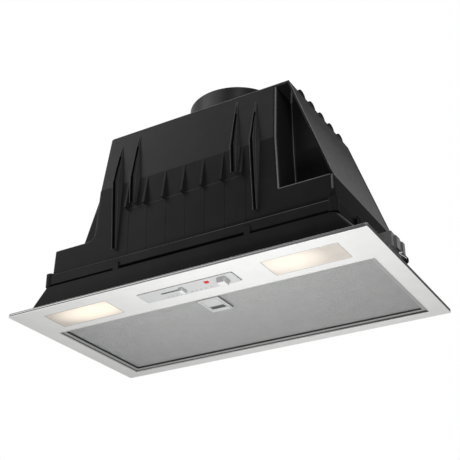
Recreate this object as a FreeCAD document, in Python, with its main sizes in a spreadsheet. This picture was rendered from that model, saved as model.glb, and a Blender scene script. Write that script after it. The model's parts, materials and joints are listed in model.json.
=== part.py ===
import FreeCAD, Part
import math
import os

import Sketcher
from FreeCAD import Placement, Rotation, Vector

# Built-in range hood, in millimetres: x to the right, y to the back, z up.
# The origin is the centre of the cabinet cut-out on the seat plane, where the panel rim meets the cabinet.

SIZES = {
    # face panel
    "panel_width": 525, "panel_depth": 288, "panel_rim": 5, "panel_sheet": 1.2, "panel_corner": 2.5,
    "side_margin": 25, "front_margin": 79, "rear_margin": 19, "upstand": 2.2,
    "lamp_row": 42.3, "lamp_inset": 96.9, "lamp_width": 101.6, "lamp_length": 44.6, "lamp_corner": 2,
    # filter and its hinge
    "filter_gap": 0.6, "filter_recess": 2, "filter_thick": 9, "rail": 6, "knuckle": 2,
    "mesh_thick": 3, "mesh_lift": 3.2, "groove": 2.5, "stub_radius": 1.5, "pivot_gap": 0.05,
    "lug_width": 4.6, "lug_depth": 6.6, "lug_height": 5.6, "lug_gap": 0.8,
    # filter latch
    "latch_width": 32, "latch_length": 42, "latch_set": 8.5, "latch_lip": 3, "latch_plate": 2,
    "slider_width": 24, "slider_length": 30.4, "slider_wall": 4, "latch_travel": 5, "play": 0.3,
    "finger_width": 21, "finger_length": 6.5, "finger_wall": 1.2, "finger_roof": 0.5,
    "tongue_width": 12, "tongue_thick": 1.8, "tongue_lift": 2.4,
    # control strip
    "strip_x": 1.2, "strip_row": 40, "strip_width": 141, "strip_length": 28, "strip_proud": 1.5,
    "strip_lip": 3, "strip_top": 1, "strip_corner": 2, "stem_width": 3.2, "stem_length": 4,
    "speed_inset": 63.3, "speed_set": 2.5, "speed_travel": 30, "speed_width": 6.5, "speed_length": 13,
    "speed_height": 4.5,
    "light_inset": 17.3, "light_set": 4, "light_travel": 6, "light_width": 11.8, "light_length": 14.6,
    "light_height": 7.6,
    "pilot_inset": 40.5, "pilot_set": 5.4, "pilot_width": 6.4, "pilot_length": 6, "pilot_proud": 0.8,
    "switch_height": 16, "switch_length": 18, "switch_margin": 6, "service_inset": 18.8,
    "terminal_width": 26, "terminal_length": 34, "terminal_height": 26,
    "capacitor_radius": 11, "capacitor_height": 42,
    # lamps
    "lens_gap": 0.3, "lens_thick": 2.2, "lens_hold": 2, "lens_hold_thick": 1.4,
    "lamp_box_margin": 4, "lamp_box_wall": 0.8, "lamp_box_height": 31, "lamp_box_lean": 14,
    "lamp_box_side_lean": 3, "bulb_height": 13.5, "bulb_radius": 12.5, "bulb_length": 60,
    "socket_radius": 11, "socket_length": 21, "cap_radius": 6.8, "cap_length": 16,
    # lower body
    "skirt_inset": 13.5, "skirt_front_inset": 17, "skirt_back_inset": 15, "skirt_wall": 2.5,
    "skirt_front_wall": 2, "seam": 35, "skirt_lean": 30.5, "skirt_back_lean": 45, "skirt_lip": 13,
    "skirt_lip_thick": 2, "skirt_heel": 8, "heel_lean": 7, "skirt_corner": 8, "foot": 7, "foot_thick": 2,
    "tab_x": 99, "tab_width": 8, "tab_height": 12, "tab_thick": 1.8,
    "hook_y": -57.5, "hook_width": 19, "hook_rise": 22, "hook_root": 4, "hook_thick": 2, "hook_slot": 2.5,
    "hook_slope": 6,
    # blower housing
    "housing_set": 3.5, "ledge_lean": 1.8, "wall_lean": 56.2, "ledge": 92.7, "crease": 170.4, "top": 255,
    "housing_back_set": 6, "step_set": 5.4, "block_set": 3.6, "block_lean": 6, "notch_set": 0.5,
    "block_left": 145.6, "crease_left": 140.7, "block_top_left": 131.5,
    "block_right": 141, "crease_right": 138.7, "block_top_right": 138.4,
    "housing_wall": 2.5, "web": 3, "lip": 3.5, "band_low": 37.5, "band_top": 53, "band_out": 3,
    "seam_slot": 3.6, "housing_corner": 5, "notch_round": 12, "pocket_round": 4,
    "rib_set": 3.5, "rib_pitch": 31, "rib_count": 5, "rib_half": 11.5, "rib_radius": 11.9,
    "rib_inset": 0.6,
    "fin_x": 108, "fin_top": 237, "fin_bottom": 70, "fin_depth": 11, "fin_foot": 4,
    "short_fin_x": 79, "short_fin_top": 248, "short_fin_bottom": 131, "short_fin_depth": 10,
    "short_fin_foot": 8.5, "fin_slot": 1.5, "fin_plate": 1.2, "fin_draft": 5, "fin_end": 0.6,
    "fin_proud": 0.3,
    "wedge_pitch": 30, "wedge_count": 7, "wedge_rise": 7, "wedge_bottom": 127, "wedge_depth": 7.5,
    "wedge_thick": 3.4, "reed": 0.7, "reed_width": 5, "apron": 0.4, "apron_half": 94,
    "corner_cap": 1.4, "corner_cap_width": 12, "corner_cap_height": 19,
    # outlet collar and damper
    "outlet_x": 14, "outlet_y": 3, "collar_radius": 70.5, "collar_wall": 2.5, "collar_top": 318,
    "collar_bottom": 250, "collar_flange": 4, "collar_flange_thick": 3, "collar_gap": 0.3,
    "seat_width": 5, "seat_thick": 2,
    "bar_width": 5, "bar_height": 9, "flap_gap": 0.6, "flap_thick": 1.5, "flap_lift": 0.3,
    "flap_barrel": 2.2, "flap_pin": 1.2, "flap_arm": 5, "flap_pivot_lift": 3, "ear_thick": 3, "ear_room": 44,
    # blower
    "axis_y": -20, "axis_z": 130, "scroll_start": 70, "scroll_end": 90, "scroll_wall": 2, "scroll_half": 63,
    "tongue_angle": 65, "tongue_lap": 10, "diffuser_front": -50, "scroll_plate": 2.5,
    "scroll_plate_margin": 7, "inlet_radius": 54, "inlet_flare": 6, "inlet_depth": 8,
    "wheel_radius": 65, "wheel_eye": 51, "wheel_half": 58, "wheel_disc": 3, "wheel_ring": 2,
    "blade_count": 36, "blade_thick": 1, "blade_rim": 1, "blade_lean": 25,
    "hub_radius": 11, "hub_length": 26, "shaft_radius": 4, "shaft_end": 15, "shaft_tail": 56,
    "motor_radius": 40, "motor_length": 74, "motor_room": 18, "motor_nose_radius": 16, "motor_nose": 5,
    "bracket_thick": 3, "bracket_ring": 8, "bracket_arm": 12, "bracket_reach": 77, "grommet_radius": 6,
    "grommet_length": 8, "grommet_circle": 69,
    # mains inlet
    "gland_x": -120, "gland_z": 66, "gland_radius": 8, "gland_collar": 11, "gland_collar_thick": 4,
    "gland_length": 16, "gland_bore": 4,
    # side clips
    "clip_front": 40, "clip_length": 40, "clip_foot": 6, "clip_reach": 4, "clip_neck": 0.5,
    "clip_under": 16, "clip_slope": 4, "clip_top": 39.4, "clip_rib": 2.5, "clip_rib_set": 11,
    "clip_rib_width": 12, "clip_end_rib": 8,
    "lever_pin": 2, "lever_inset": 4, "lever_z": 33, "lever_width": 11, "lever_head": 5, "lever_tip": 12,
    "lever_nose": 10, "lever_thick": 4, "spring_thick": 1, "spring_width": 4.5, "spring_length": 28,
    # fasteners
    "screw_head_height": 1.8, "panel_screw_inset": 52.5,
}

document = FreeCAD.newDocument("range_hood")
sheet = document.addObject("Spreadsheet::Sheet", "sizes")
for row, (name, number) in enumerate(SIZES.items(), start=1):
    sheet.set(f"A{row}", name)
    sheet.set(f"B{row}", str(number))
    sheet.setAlias(f"B{row}", name)
document.recompute()

sub_parts = {}

# Sums of sizes, written as text such as "0.5*panel_width - panel_sheet"


def terms(text):
    """The (factor, size name) pairs of a sum; a bare number has no name."""
    pairs = []
    for word in text.replace(" ", "").replace("-", "+-").split("+"):
        if not word:
            continue
        factor = -1.0 if word.startswith("-") else 1.0
        size = None
        for item in word.lstrip("-").split("*"):
            if item[0].isdigit():
                factor *= float(item)
            else:
                size = item
        pairs.append((factor, size))
    return pairs


def value(text):
    return sum(factor * (float(sheet.get(size)) if size else 1.0) for factor, size in terms(text))


def formula(text):
    words = [f"({factor} * sizes.{size})" if size else f"({factor})" for factor, size in terms(text)]
    return " + ".join(words)


def span(low, high):
    return f"({formula(high)}) - ({formula(low)})"


def flip(text):
    """The same sum with every sign turned."""
    return " + ".join(f"{-factor}*{size}" if size else f"{-factor}" for factor, size in terms(text))


def on_side(side, low, high):
    """A range of x on the right (1) or its mirror image on the left (-1)."""
    return (low, high) if side > 0 else (flip(high), flip(low))


def sided(side, text):
    return text if side > 0 else flip(text)


SIDES = ((-1, "left"), (1, "right"))

# Closed outlines for sketches


def outline(points):
    return ("lines", points)


def rectangle(left, right, front, back):
    return outline([(left, front), (right, front), (right, back), (left, back)])


def rounded(left, right, front, back, radius):
    return ("rounded", (left, right, front, back, radius))


def circle(across, along, radius):
    return ("circle", (across, along, radius))


def dome(across, level, half, radius):
    """An arc standing on a level chord."""
    return ("dome", (across, level, half, radius))


def bind(sketch, index, text):
    sketch.setExpression(f"Constraints[{index}]", formula(text))


def fix_point(sketch, geometry, point, across, along):
    for kind, text in (("DistanceX", across), ("DistanceY", along)):
        if text is not None:
            index = sketch.addConstraint(Sketcher.Constraint(kind, -1, 1, geometry, point, value(text)))
            bind(sketch, index, text)


def draw_lines(sketch, points):
    corners = [Vector(value(across), value(along), 0) for across, along in points]
    count = len(corners)
    lines = [
        sketch.addGeometry(Part.LineSegment(corners[i], corners[(i + 1) % count]))
        for i in range(count)
    ]
    for i, line in enumerate(lines):
        sketch.addConstraint(Sketcher.Constraint("Coincident", line, 2, lines[(i + 1) % count], 1))
    for line, (across, along) in zip(lines, points):
        fix_point(sketch, line, 1, across, along)


def draw_rounded(sketch, limits):
    left, right, front, back, radius = limits
    x0, x1, y0, y1, r = (value(text) for text in limits)
    ends = [
        ((x0 + r, y0), (x1 - r, y0)), ((x1, y0 + r), (x1, y1 - r)),
        ((x1 - r, y1), (x0 + r, y1)), ((x0, y1 - r), (x0, y0 + r)),
    ]
    centres = [(x1 - r, y0 + r), (x1 - r, y1 - r), (x0 + r, y1 - r), (x0 + r, y0 + r)]
    lines = [sketch.addGeometry(Part.LineSegment(Vector(*a, 0), Vector(*b, 0))) for a, b in ends]
    arcs = []
    for i, centre in enumerate(centres):
        whole = Part.Circle(Vector(*centre, 0), Vector(0, 0, 1), r)
        start = (i - 1) * math.pi / 2
        arcs.append(sketch.addGeometry(Part.ArcOfCircle(whole, start, start + math.pi / 2)))
    for i, arc in enumerate(arcs):
        sketch.addConstraint(Sketcher.Constraint("Tangent", lines[i], 2, arc, 1))
        sketch.addConstraint(Sketcher.Constraint("Tangent", arc, 2, lines[(i + 1) % 4], 1))
        bind(sketch, sketch.addConstraint(Sketcher.Constraint("Radius", arc, r)), radius)
        direction = "Horizontal" if i % 2 == 0 else "Vertical"
        sketch.addConstraint(Sketcher.Constraint(direction, lines[i]))
    for line, across, along in ((0, None, front), (1, right, None), (2, None, back), (3, left, None)):
        fix_point(sketch, lines[line], 1, across, along)


def draw_circle(sketch, place):
    across, along, radius = place
    centre = Vector(value(across), value(along), 0)
    ring = sketch.addGeometry(Part.Circle(centre, Vector(0, 0, 1), value(radius)))
    bind(sketch, sketch.addConstraint(Sketcher.Constraint("Radius", ring, value(radius))), radius)
    fix_point(sketch, ring, 3, across, along)


def draw_dome(sketch, sizes):
    across, level, half, radius = sizes
    x, y, h, r = (value(text) for text in sizes)
    chord = sketch.addGeometry(Part.LineSegment(Vector(x - h, y, 0), Vector(x + h, y, 0)))
    whole = Part.Circle(Vector(x, y - math.sqrt(r * r - h * h), 0), Vector(0, 0, 1), r)
    start = math.acos(h / r)
    arc = sketch.addGeometry(Part.ArcOfCircle(whole, start, math.pi - start))
    sketch.addConstraint(Sketcher.Constraint("Coincident", chord, 2, arc, 1))
    sketch.addConstraint(Sketcher.Constraint("Coincident", arc, 2, chord, 1))
    bind(sketch, sketch.addConstraint(Sketcher.Constraint("Radius", arc, r)), radius)
    fix_point(sketch, chord, 1, f"{across} - {half}", level)
    fix_point(sketch, chord, 2, f"{across} + {half}", level)


DRAW = {"lines": draw_lines, "rounded": draw_rounded, "circle": draw_circle, "dome": draw_dome}

# Features of a body; XZ sketches face the front, so distances along their normal run towards -y


def new_body(label):
    body = document.addObject("PartDesign::Body", label)
    body.Label = label
    sub_parts[label] = body
    return body


def sketch_on(body, plane, loops, level):
    sketch = body.newObject("Sketcher::SketchObject", "outline")
    origin_plane = next(item for item in body.Origin.OriginFeatures if item.Role == f"{plane}_Plane")
    sketch.AttachmentSupport = [(origin_plane, "")]
    sketch.MapMode = "FlatFace"
    for kind, sizes in loops:
        DRAW[kind](sketch, sizes)
    sign = "-" if plane == "XZ" else ""
    sketch.setExpression("AttachmentOffset.Base.z", f"{sign}({formula(level)})")
    return sketch


def pad(body, plane, loops, low, high):
    """Material between two levels along x, y or z."""
    feature = body.newObject("PartDesign::Pad", "pad")
    feature.Profile = sketch_on(body, plane, loops, high if plane == "XZ" else low)
    feature.setExpression("Length", span(low, high))
    return feature


def pocket(body, plane, loops, low, high):
    """A cut between two levels along x, y or z."""
    document.recompute()
    before = body.Shape.Volume
    feature = body.newObject("PartDesign::Pocket", "pocket")
    feature.Profile = sketch_on(body, plane, loops, low if plane == "XZ" else high)
    feature.setExpression("Length", span(low, high))
    document.recompute()
    if body.Shape.Volume > before - 0.01:
        raise ValueError(f"a pocket of {body.Label} cuts nothing")
    return feature


def loft(body, sections, kind="PartDesign::AdditiveLoft", plane="XY"):
    """Straight sides through parallel outlines, each given as (outline, level)."""
    sketches = [sketch_on(body, plane, [loop], level) for loop, level in sections]
    feature = body.newObject(kind, "loft")
    feature.Profile = sketches[0]
    feature.Sections = sketches[1:]
    feature.Ruled = True
    document.recompute()
    return feature


def hollow(body, sections):
    return loft(body, sections, "PartDesign::SubtractiveLoft")


def turn(body, points, axis):
    """A solid of revolution from (distance along x, height) points, about the sketch's own axis."""
    feature = body.newObject("PartDesign::Revolution", "turning")
    sketch = sketch_on(body, "XZ", [outline(points)], "0")
    feature.Profile = sketch
    feature.ReferenceAxis = (sketch, [axis])
    feature.Angle = 360
    return feature


def soften(body, radius, chosen):
    """Round the edges of the body's present shape that a test picks."""
    document.recompute()
    base = body.Tip
    edges = [f"Edge{i}" for i, edge in enumerate(base.Shape.Edges, start=1) if chosen(edge)]
    if not edges:
        raise ValueError(f"no edge of {body.Label} to round")
    feature = body.newObject("PartDesign::Fillet", "rounding")
    feature.Base = (base, edges)
    feature.setExpression("Radius", formula(radius))
    document.recompute()
    return feature


def put(item, across, along, height):
    for letter, text in zip("xyz", (across, along, height)):
        item.setExpression(f"Placement.Base.{letter}", formula(text))


# Plain solids and booleans

TURNS = {
    "x": Rotation(Vector(0, 1, 0), 90),
    "y": Rotation(Vector(1, 0, 0), -90),
    "z": Rotation(),
}


def block(left, right, front, back, bottom, top_level):
    box = document.addObject("Part::Box", "block")
    box.setExpression("Length", span(left, right))
    box.setExpression("Width", span(front, back))
    box.setExpression("Height", span(bottom, top_level))
    put(box, left, front, bottom)
    return box


def rod(axis, across, along, height, radius, length):
    """A cylinder from a point along +x, +y or +z; length is a (low, high) pair of sums."""
    cylinder = document.addObject("Part::Cylinder", "rod")
    cylinder.setExpression("Radius", formula(radius))
    cylinder.setExpression("Height", span(*length))
    cylinder.Placement = Placement(Vector(), TURNS[axis])
    put(cylinder, across, along, height)
    return cylinder


def rod_x(low, high, along, height, radius):
    return rod("x", low, along, height, radius, (low, high))


def rod_y(across, low, high, height, radius):
    return rod("y", across, low, height, radius, (low, high))


def rod_z(across, along, low, high, radius):
    return rod("z", across, along, low, radius, (low, high))


def fuse(*pieces):
    joined = document.addObject("Part::MultiFuse", "joined")
    joined.Shapes = list(pieces)
    joined.Refine = True
    return joined


def cut(base, *tools):
    for tool in tools:
        remainder = document.addObject("Part::Cut", "remainder")
        remainder.Base = base
        remainder.Tool = tool
        base = remainder
    return base


def keep(item, label):
    item.Label = label
    sub_parts[label] = item
    return item


def group(pieces, label):
    """Separate equal pieces that share one node."""
    together = document.addObject("Part::Compound", "group")
    together.Links = list(pieces)
    return keep(together, label)


def shaped(shape, label):
    feature = document.addObject("Part::Feature", label)
    feature.Shape = shape
    return keep(feature, label)


# Levels and lines that several pieces share

FACE = "-panel_rim"
INSIDE = "panel_sheet - panel_rim"
FILTER_SIDE = "0.5*panel_width - side_margin"
FILTER_FRONT = "-0.5*panel_depth + front_margin"
FILTER_REAR = "0.5*panel_depth - rear_margin"
FILTER_BOTTOM = "filter_recess - panel_rim"
HINGE_Y = f"{FILTER_REAR} - filter_gap - knuckle"
HINGE_Z = f"{FILTER_BOTTOM} + knuckle"
LUG_IN = f"{FILTER_SIDE} + panel_sheet + lug_gap"
MESH_BOTTOM = f"{FILTER_BOTTOM} + mesh_lift"
MESH_TOP = f"{MESH_BOTTOM} + mesh_thick"
LAMP_X = "0.5*panel_width - lamp_inset"
LAMP_Y = "-0.5*panel_depth + lamp_row"
LAMP_BOX_IN = f"{LAMP_X} - 0.5*lamp_width - lamp_box_margin"
LAMP_BOX_OUT = f"{LAMP_X} + 0.5*lamp_width + lamp_box_margin"
STRIP_LEFT = "strip_x - 0.5*strip_width"
STRIP_RIGHT = "strip_x + 0.5*strip_width"
STRIP_Y = "-0.5*panel_depth + strip_row"
STRIP_FACE = f"{FACE} - strip_proud"
KNOB_X = {"speed": f"{STRIP_LEFT} + speed_inset", "light": f"{STRIP_RIGHT} - light_inset"}
HALF_SKIRT = "0.5*panel_width - skirt_inset"
SKIRT_FRONT = "-0.5*panel_depth + skirt_front_inset"
SKIRT_BACK = "0.5*panel_depth - skirt_back_inset"
HALF_SKIRT_TOP = f"{HALF_SKIRT} - skirt_lean"
SKIRT_TOP_BACK = f"{SKIRT_BACK} - skirt_back_lean"
HALF_HOUSING = f"{HALF_SKIRT_TOP} - housing_set"
HALF_LEDGE = f"{HALF_HOUSING} - ledge_lean"
HALF_TOP = f"{HALF_LEDGE} - wall_lean"
HOUSING_BACK = f"{SKIRT_TOP_BACK} - housing_back_set"
STEP_FRONT = f"{SKIRT_FRONT} + step_set"
BLOCK_FRONT = f"{STEP_FRONT} + block_set"
BLOCK_TOP_FRONT = f"{BLOCK_FRONT} + block_lean"
NOTCH = "outlet_y - collar_radius - notch_set"
NOTCH_BACK = f"{NOTCH} + housing_wall"


def both_ways(half, front, back):
    """A rectangle that is even about x = 0."""
    return rectangle(flip(half), half, front, back)


def both_ways_rounded(half, front, back, radius):
    return rounded(flip(half), half, front, back, radius)


def lamp_window(side, inset):
    left, right = on_side(side, f"{LAMP_X} - 0.5*lamp_width + {inset}",
                          f"{LAMP_X} + 0.5*lamp_width - {inset}")
    return rounded(left, right, f"{LAMP_Y} - 0.5*lamp_length + {inset}",
                   f"{LAMP_Y} + 0.5*lamp_length - {inset}", "lamp_corner")


def filter_window(grow):
    return both_ways(f"{FILTER_SIDE} + {grow}", f"{FILTER_FRONT} - {grow}", f"{FILTER_REAR} + {grow}")


def make_face_panel():
    body = new_body("face_panel")
    edge = both_ways_rounded("0.5*panel_width", "-0.5*panel_depth", "0.5*panel_depth", "panel_corner")
    inner_edge = both_ways_rounded("0.5*panel_width - panel_sheet", "-0.5*panel_depth + panel_sheet",
                                   "0.5*panel_depth - panel_sheet", "panel_corner - panel_sheet")
    strip_window = rectangle(f"{STRIP_LEFT} + strip_lip", f"{STRIP_RIGHT} - strip_lip",
                             f"{STRIP_Y} - 0.5*strip_length + strip_lip",
                             f"{STRIP_Y} + 0.5*strip_length - strip_lip")
    windows = [filter_window("0"), strip_window] + [lamp_window(side, "0") for side, _ in SIDES]
    pad(body, "XY", [edge] + windows, FACE, INSIDE)
    pad(body, "XY", [edge, inner_edge], INSIDE, "0")
    pad(body, "XY", [filter_window("panel_sheet"), filter_window("0")], INSIDE, f"{INSIDE} + upstand")
    # notches in the upstand for the filter's pivot stubs
    for side, _ in SIDES:
        left, right = on_side(side, f"{FILTER_SIDE} - 0.5*panel_sheet", f"{FILTER_SIDE} + 1.5*panel_sheet")
        notch = rectangle(left, right, f"{HINGE_Y} - stub_radius - play", f"{HINGE_Y} + stub_radius + play")
        pocket(body, "XY", [notch], INSIDE, f"{INSIDE} + 2*upstand")


def make_hinge_lug(side, word):
    left, right = on_side(side, LUG_IN, f"{LUG_IN} + lug_width")
    lug = block(left, right, f"{HINGE_Y} - 0.5*lug_depth", f"{HINGE_Y} + 0.5*lug_depth",
                INSIDE, f"{INSIDE} + lug_height")
    bore = rod_x(left, right, HINGE_Y, HINGE_Z, "stub_radius + pivot_gap")
    keep(cut(lug, bore), f"hinge_lug_{word}")


def frame_outline(inset):
    outset = flip(inset)
    return both_ways(f"{FILTER_SIDE} - filter_gap + {outset}", f"{FILTER_FRONT} + filter_gap + {inset}",
                     f"{FILTER_REAR} - filter_gap + {outset}")


def make_filter_frame():
    body = new_body("filter_frame")
    top_level = f"{FILTER_BOTTOM} + filter_thick"
    pad(body, "XY", [frame_outline("0"), frame_outline("rail")], FILTER_BOTTOM, top_level)
    rear = value(f"{FILTER_REAR} - filter_gap")
    bottom = value(FILTER_BOTTOM)

    def hinge_edge(edge):
        return edge.BoundBox.YMin > rear - 0.01 and edge.BoundBox.ZMax < bottom + 0.01

    soften(body, "knuckle", hinge_edge)
    pocket(body, "XY", [frame_outline("rail - groove")], MESH_BOTTOM, MESH_TOP)
    # slot that the latch tongue slides through
    slot = rectangle("-0.5*tongue_width - play", "0.5*tongue_width + play",
                     f"{FILTER_BOTTOM} + tongue_lift - play",
                     f"{FILTER_BOTTOM} + tongue_lift + tongue_thick + play")
    pocket(body, "XZ", [slot], FILTER_FRONT, f"{FILTER_FRONT} + filter_gap + 1.5*rail")
    for side, _ in SIDES:
        left, right = on_side(side, f"{FILTER_SIDE} - filter_gap - 0.5*rail", f"{LUG_IN} + lug_width - play")
        pad(body, "YZ", [circle(HINGE_Y, HINGE_Z, "stub_radius")], left, right)


LATCH_FRONT = f"{FILTER_FRONT} + latch_set"
LATCH_REAR = f"{LATCH_FRONT} + latch_length"


def make_filter_mesh():
    body = new_body("filter_mesh")
    hole = rectangle("-0.5*latch_width", "0.5*latch_width", LATCH_FRONT, LATCH_REAR)
    pad(body, "XY", [frame_outline("rail - groove + play"), hole], MESH_BOTTOM, MESH_TOP)
    passage = rectangle("-0.5*tongue_width - play", "0.5*tongue_width + play", FILTER_FRONT,
                        f"{LATCH_FRONT} + play")
    pocket(body, "XY", [passage], f"{MESH_BOTTOM} - play", f"{MESH_TOP} + play")


SLIDER_FRONT = f"{LATCH_FRONT} + slider_wall"
TONGUE_BOTTOM = f"{FILTER_BOTTOM} + tongue_lift"
SLIDER_TOP = f"{MESH_TOP} - play"


def make_latch():
    base = new_body("latch_base")
    well = rectangle("-0.5*slider_width - play", "0.5*slider_width + play", f"{SLIDER_FRONT} - play",
                     f"{SLIDER_FRONT} + slider_length + latch_travel + play")
    frame = rectangle("-0.5*latch_width + 0.3*play", "0.5*latch_width - 0.3*play",
                      f"{LATCH_FRONT} + 0.3*play", f"{LATCH_REAR} - 0.3*play")
    pad(base, "XY", [frame, well], FILTER_BOTTOM, MESH_TOP)
    cover = rectangle("-0.5*latch_width - latch_lip", "0.5*latch_width + latch_lip",
                      f"{FILTER_FRONT} + filter_gap + rail + play", f"{LATCH_REAR} + latch_lip")
    pad(base, "XY", [cover], MESH_TOP, f"{MESH_TOP} + latch_plate")
    slot = rectangle("-0.5*tongue_width - play", "0.5*tongue_width + play",
                     f"{TONGUE_BOTTOM} - play", f"{TONGUE_BOTTOM} + tongue_thick + play")
    pocket(base, "XZ", [slot], f"{LATCH_FRONT} - play", f"{SLIDER_FRONT} + play")

    slider = new_body("latch_slider")
    plate = rounded("-0.5*slider_width", "0.5*slider_width", SLIDER_FRONT, f"{SLIDER_FRONT} + slider_length",
                    "2*play")
    pad(slider, "XY", [plate], FILTER_BOTTOM, SLIDER_TOP)
    finger = rounded("-0.5*finger_width", "0.5*finger_width",
                     f"{SLIDER_FRONT} + slider_length - finger_wall - finger_length",
                     f"{SLIDER_FRONT} + slider_length - finger_wall", "finger_wall")
    pocket(slider, "XY", [finger], f"{FILTER_BOTTOM} - play", f"{SLIDER_TOP} - finger_roof")
    tongue = rectangle("-0.5*tongue_width", "0.5*tongue_width", TONGUE_BOTTOM,
                       f"{TONGUE_BOTTOM} + tongue_thick")
    pad(slider, "XZ", [tongue], f"{FILTER_FRONT} + filter_gap", f"{SLIDER_FRONT} + slider_wall")


def make_lamp(side, word):
    lens = new_body(f"lamp_lens_{word}")
    pad(lens, "XY", [lamp_window(side, "lens_gap")], FACE, f"{FACE} + lens_thick")
    left, right = on_side(side, f"{LAMP_X} - 0.5*lamp_width - lens_hold",
                          f"{LAMP_X} + 0.5*lamp_width + lens_hold")
    wings = rectangle(left, right, f"{LAMP_Y} - 0.5*lamp_length + lamp_corner",
                      f"{LAMP_Y} + 0.5*lamp_length - lamp_corner")
    pad(lens, "XY", [wings], INSIDE, f"{INSIDE} + lens_hold_thick")

    def section(wall, lean, side_lean):
        near, far = on_side(side, f"{LAMP_BOX_IN} + {wall}", f"{LAMP_BOX_OUT} - {wall} - {lean}")
        return rectangle(near, far, f"{LAMP_Y} - 0.5*lamp_length - lamp_box_wall + {wall} + {side_lean}",
                         f"{LAMP_Y} + 0.5*lamp_length + lamp_box_wall - {wall} - {side_lean}")

    box = new_body(f"lamp_box_{word}")
    loft(box, [(section("0", "0", "0"), INSIDE),
               (section("0", "lamp_box_lean", "lamp_box_side_lean"), "lamp_box_height")])
    hollow(box, [(section("lamp_box_wall", "0", "0"), INSIDE),
                 (section("lamp_box_wall", "lamp_box_lean", "lamp_box_side_lean"),
                  "lamp_box_height - lamp_box_wall")])

    socket_start = f"{LAMP_BOX_IN} + lamp_box_wall"
    socket_end = f"{socket_start} + socket_length"
    left, right = on_side(side, socket_start, socket_end)
    shell = rod_x(left, right, LAMP_Y, "bulb_height", "socket_radius")
    left, right = on_side(side, f"{socket_end} - cap_length - lens_gap", f"{socket_end} + lens_gap")
    bore = rod_x(left, right, LAMP_Y, "bulb_height", "cap_radius + lens_gap")
    keep(cut(shell, bore), f"lamp_socket_{word}")

    bulb = new_body(f"lamp_bulb_{word}")
    turn(bulb, [("-cap_length", "0"), ("-cap_length", "cap_radius"), ("lens_gap", "cap_radius"),
                ("0.5*bulb_radius", "bulb_radius"), ("bulb_length - 0.6*bulb_radius", "bulb_radius"),
                ("bulb_length - 0.15*bulb_radius", "0.7*bulb_radius"), ("bulb_length", "0")], "H_Axis")
    if side < 0:
        bulb.Placement = Placement(Vector(), Rotation(Vector(0, 0, 1), 180))
    put(bulb, sided(side, socket_end), LAMP_Y, "bulb_height")


def pilot_outline(inset):
    return rounded(f"{STRIP_RIGHT} - pilot_inset - 0.5*pilot_width + {inset}",
                   f"{STRIP_RIGHT} - pilot_inset + 0.5*pilot_width - {inset}",
                   f"{STRIP_Y} - pilot_set - 0.5*pilot_length + {inset}",
                   f"{STRIP_Y} - pilot_set + 0.5*pilot_length - {inset}", "3*play")


def make_control_strip():
    body = new_body("control_strip")
    pad(body, "XY", [rounded(STRIP_LEFT, STRIP_RIGHT, f"{STRIP_Y} - 0.5*strip_length",
                             f"{STRIP_Y} + 0.5*strip_length", "strip_corner")], STRIP_FACE, FACE)
    pad(body, "XY", [rectangle(f"{STRIP_LEFT} + strip_lip + play", f"{STRIP_RIGHT} - strip_lip - play",
                               f"{STRIP_Y} - 0.5*strip_length + strip_lip + play",
                               f"{STRIP_Y} + 0.5*strip_length - strip_lip - play")], FACE, "strip_top")
    for knob, across in KNOB_X.items():
        along = f"{STRIP_Y} - {knob}_set"
        slot = rectangle(f"{across} - {knob}_travel - 0.5*stem_length - play",
                         f"{across} + 0.5*stem_length + play",
                         f"{along} - 0.5*stem_width - play", f"{along} + 0.5*stem_width + play")
        pocket(body, "XY", [slot], f"{STRIP_FACE} - play", "strip_top + play")
    pocket(body, "XY", [pilot_outline("0")], f"{STRIP_FACE} - play", f"{FACE} + panel_sheet")


def make_knob(knob):
    body = new_body(f"{knob}_knob")
    across = KNOB_X[knob]
    along = f"{STRIP_Y} - {knob}_set"
    seat = f"{STRIP_FACE} - play"

    def section(inset):
        return rounded(f"{across} - 0.5*{knob}_width + {inset}", f"{across} + 0.5*{knob}_width - {inset}",
                       f"{along} - 0.5*{knob}_length + {inset}", f"{along} + 0.5*{knob}_length - {inset}",
                       "3*play")

    loft(body, [(section("2*play"), f"{seat} - {knob}_height"), (section("0"), seat)])
    stem = rectangle(f"{across} - 0.5*stem_length", f"{across} + 0.5*stem_length",
                     f"{along} - 0.5*stem_width", f"{along} + 0.5*stem_width")
    pad(body, "XY", [stem], f"{seat} - play", "strip_top - play")


def make_switch(knob):
    across = KNOB_X[knob]
    keep(block(f"{across} - {knob}_travel - switch_margin", f"{across} + switch_margin",
               f"{STRIP_Y} - 0.5*switch_length", f"{STRIP_Y} + 0.5*switch_length",
               "strip_top", "strip_top + switch_height"), f"{knob}_switch")


def make_pilot():
    body = new_body("pilot_lens")
    side = pilot_outline("0.5*play")
    loft(body, [(pilot_outline("2*play"), f"{STRIP_FACE} - pilot_proud"), (side, STRIP_FACE),
                (side, f"{FACE} + panel_sheet")])


def make_electrics():
    service_x = f"{LAMP_BOX_IN} - service_inset"
    terminal = new_body("terminal_box")
    left, right = on_side(-1, f"{service_x} - 0.5*terminal_width", f"{service_x} + 0.5*terminal_width")
    plan = rounded(left, right, f"{LAMP_Y} - 0.5*terminal_length", f"{LAMP_Y} + 0.5*terminal_length",
                   "lamp_corner")
    pad(terminal, "XY", [plan], INSIDE, f"{INSIDE} + terminal_height")
    capacitor = new_body("capacitor")
    turn(capacitor, [("0", INSIDE), ("capacitor_radius", INSIDE),
                     ("capacitor_radius", f"{INSIDE} + capacitor_height - 0.2*capacitor_radius"),
                     ("0.8*capacitor_radius", f"{INSIDE} + capacitor_height"),
                     ("0", f"{INSIDE} + capacitor_height")], "V_Axis")
    put(capacitor, service_x, LAMP_Y, "0")


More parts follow.
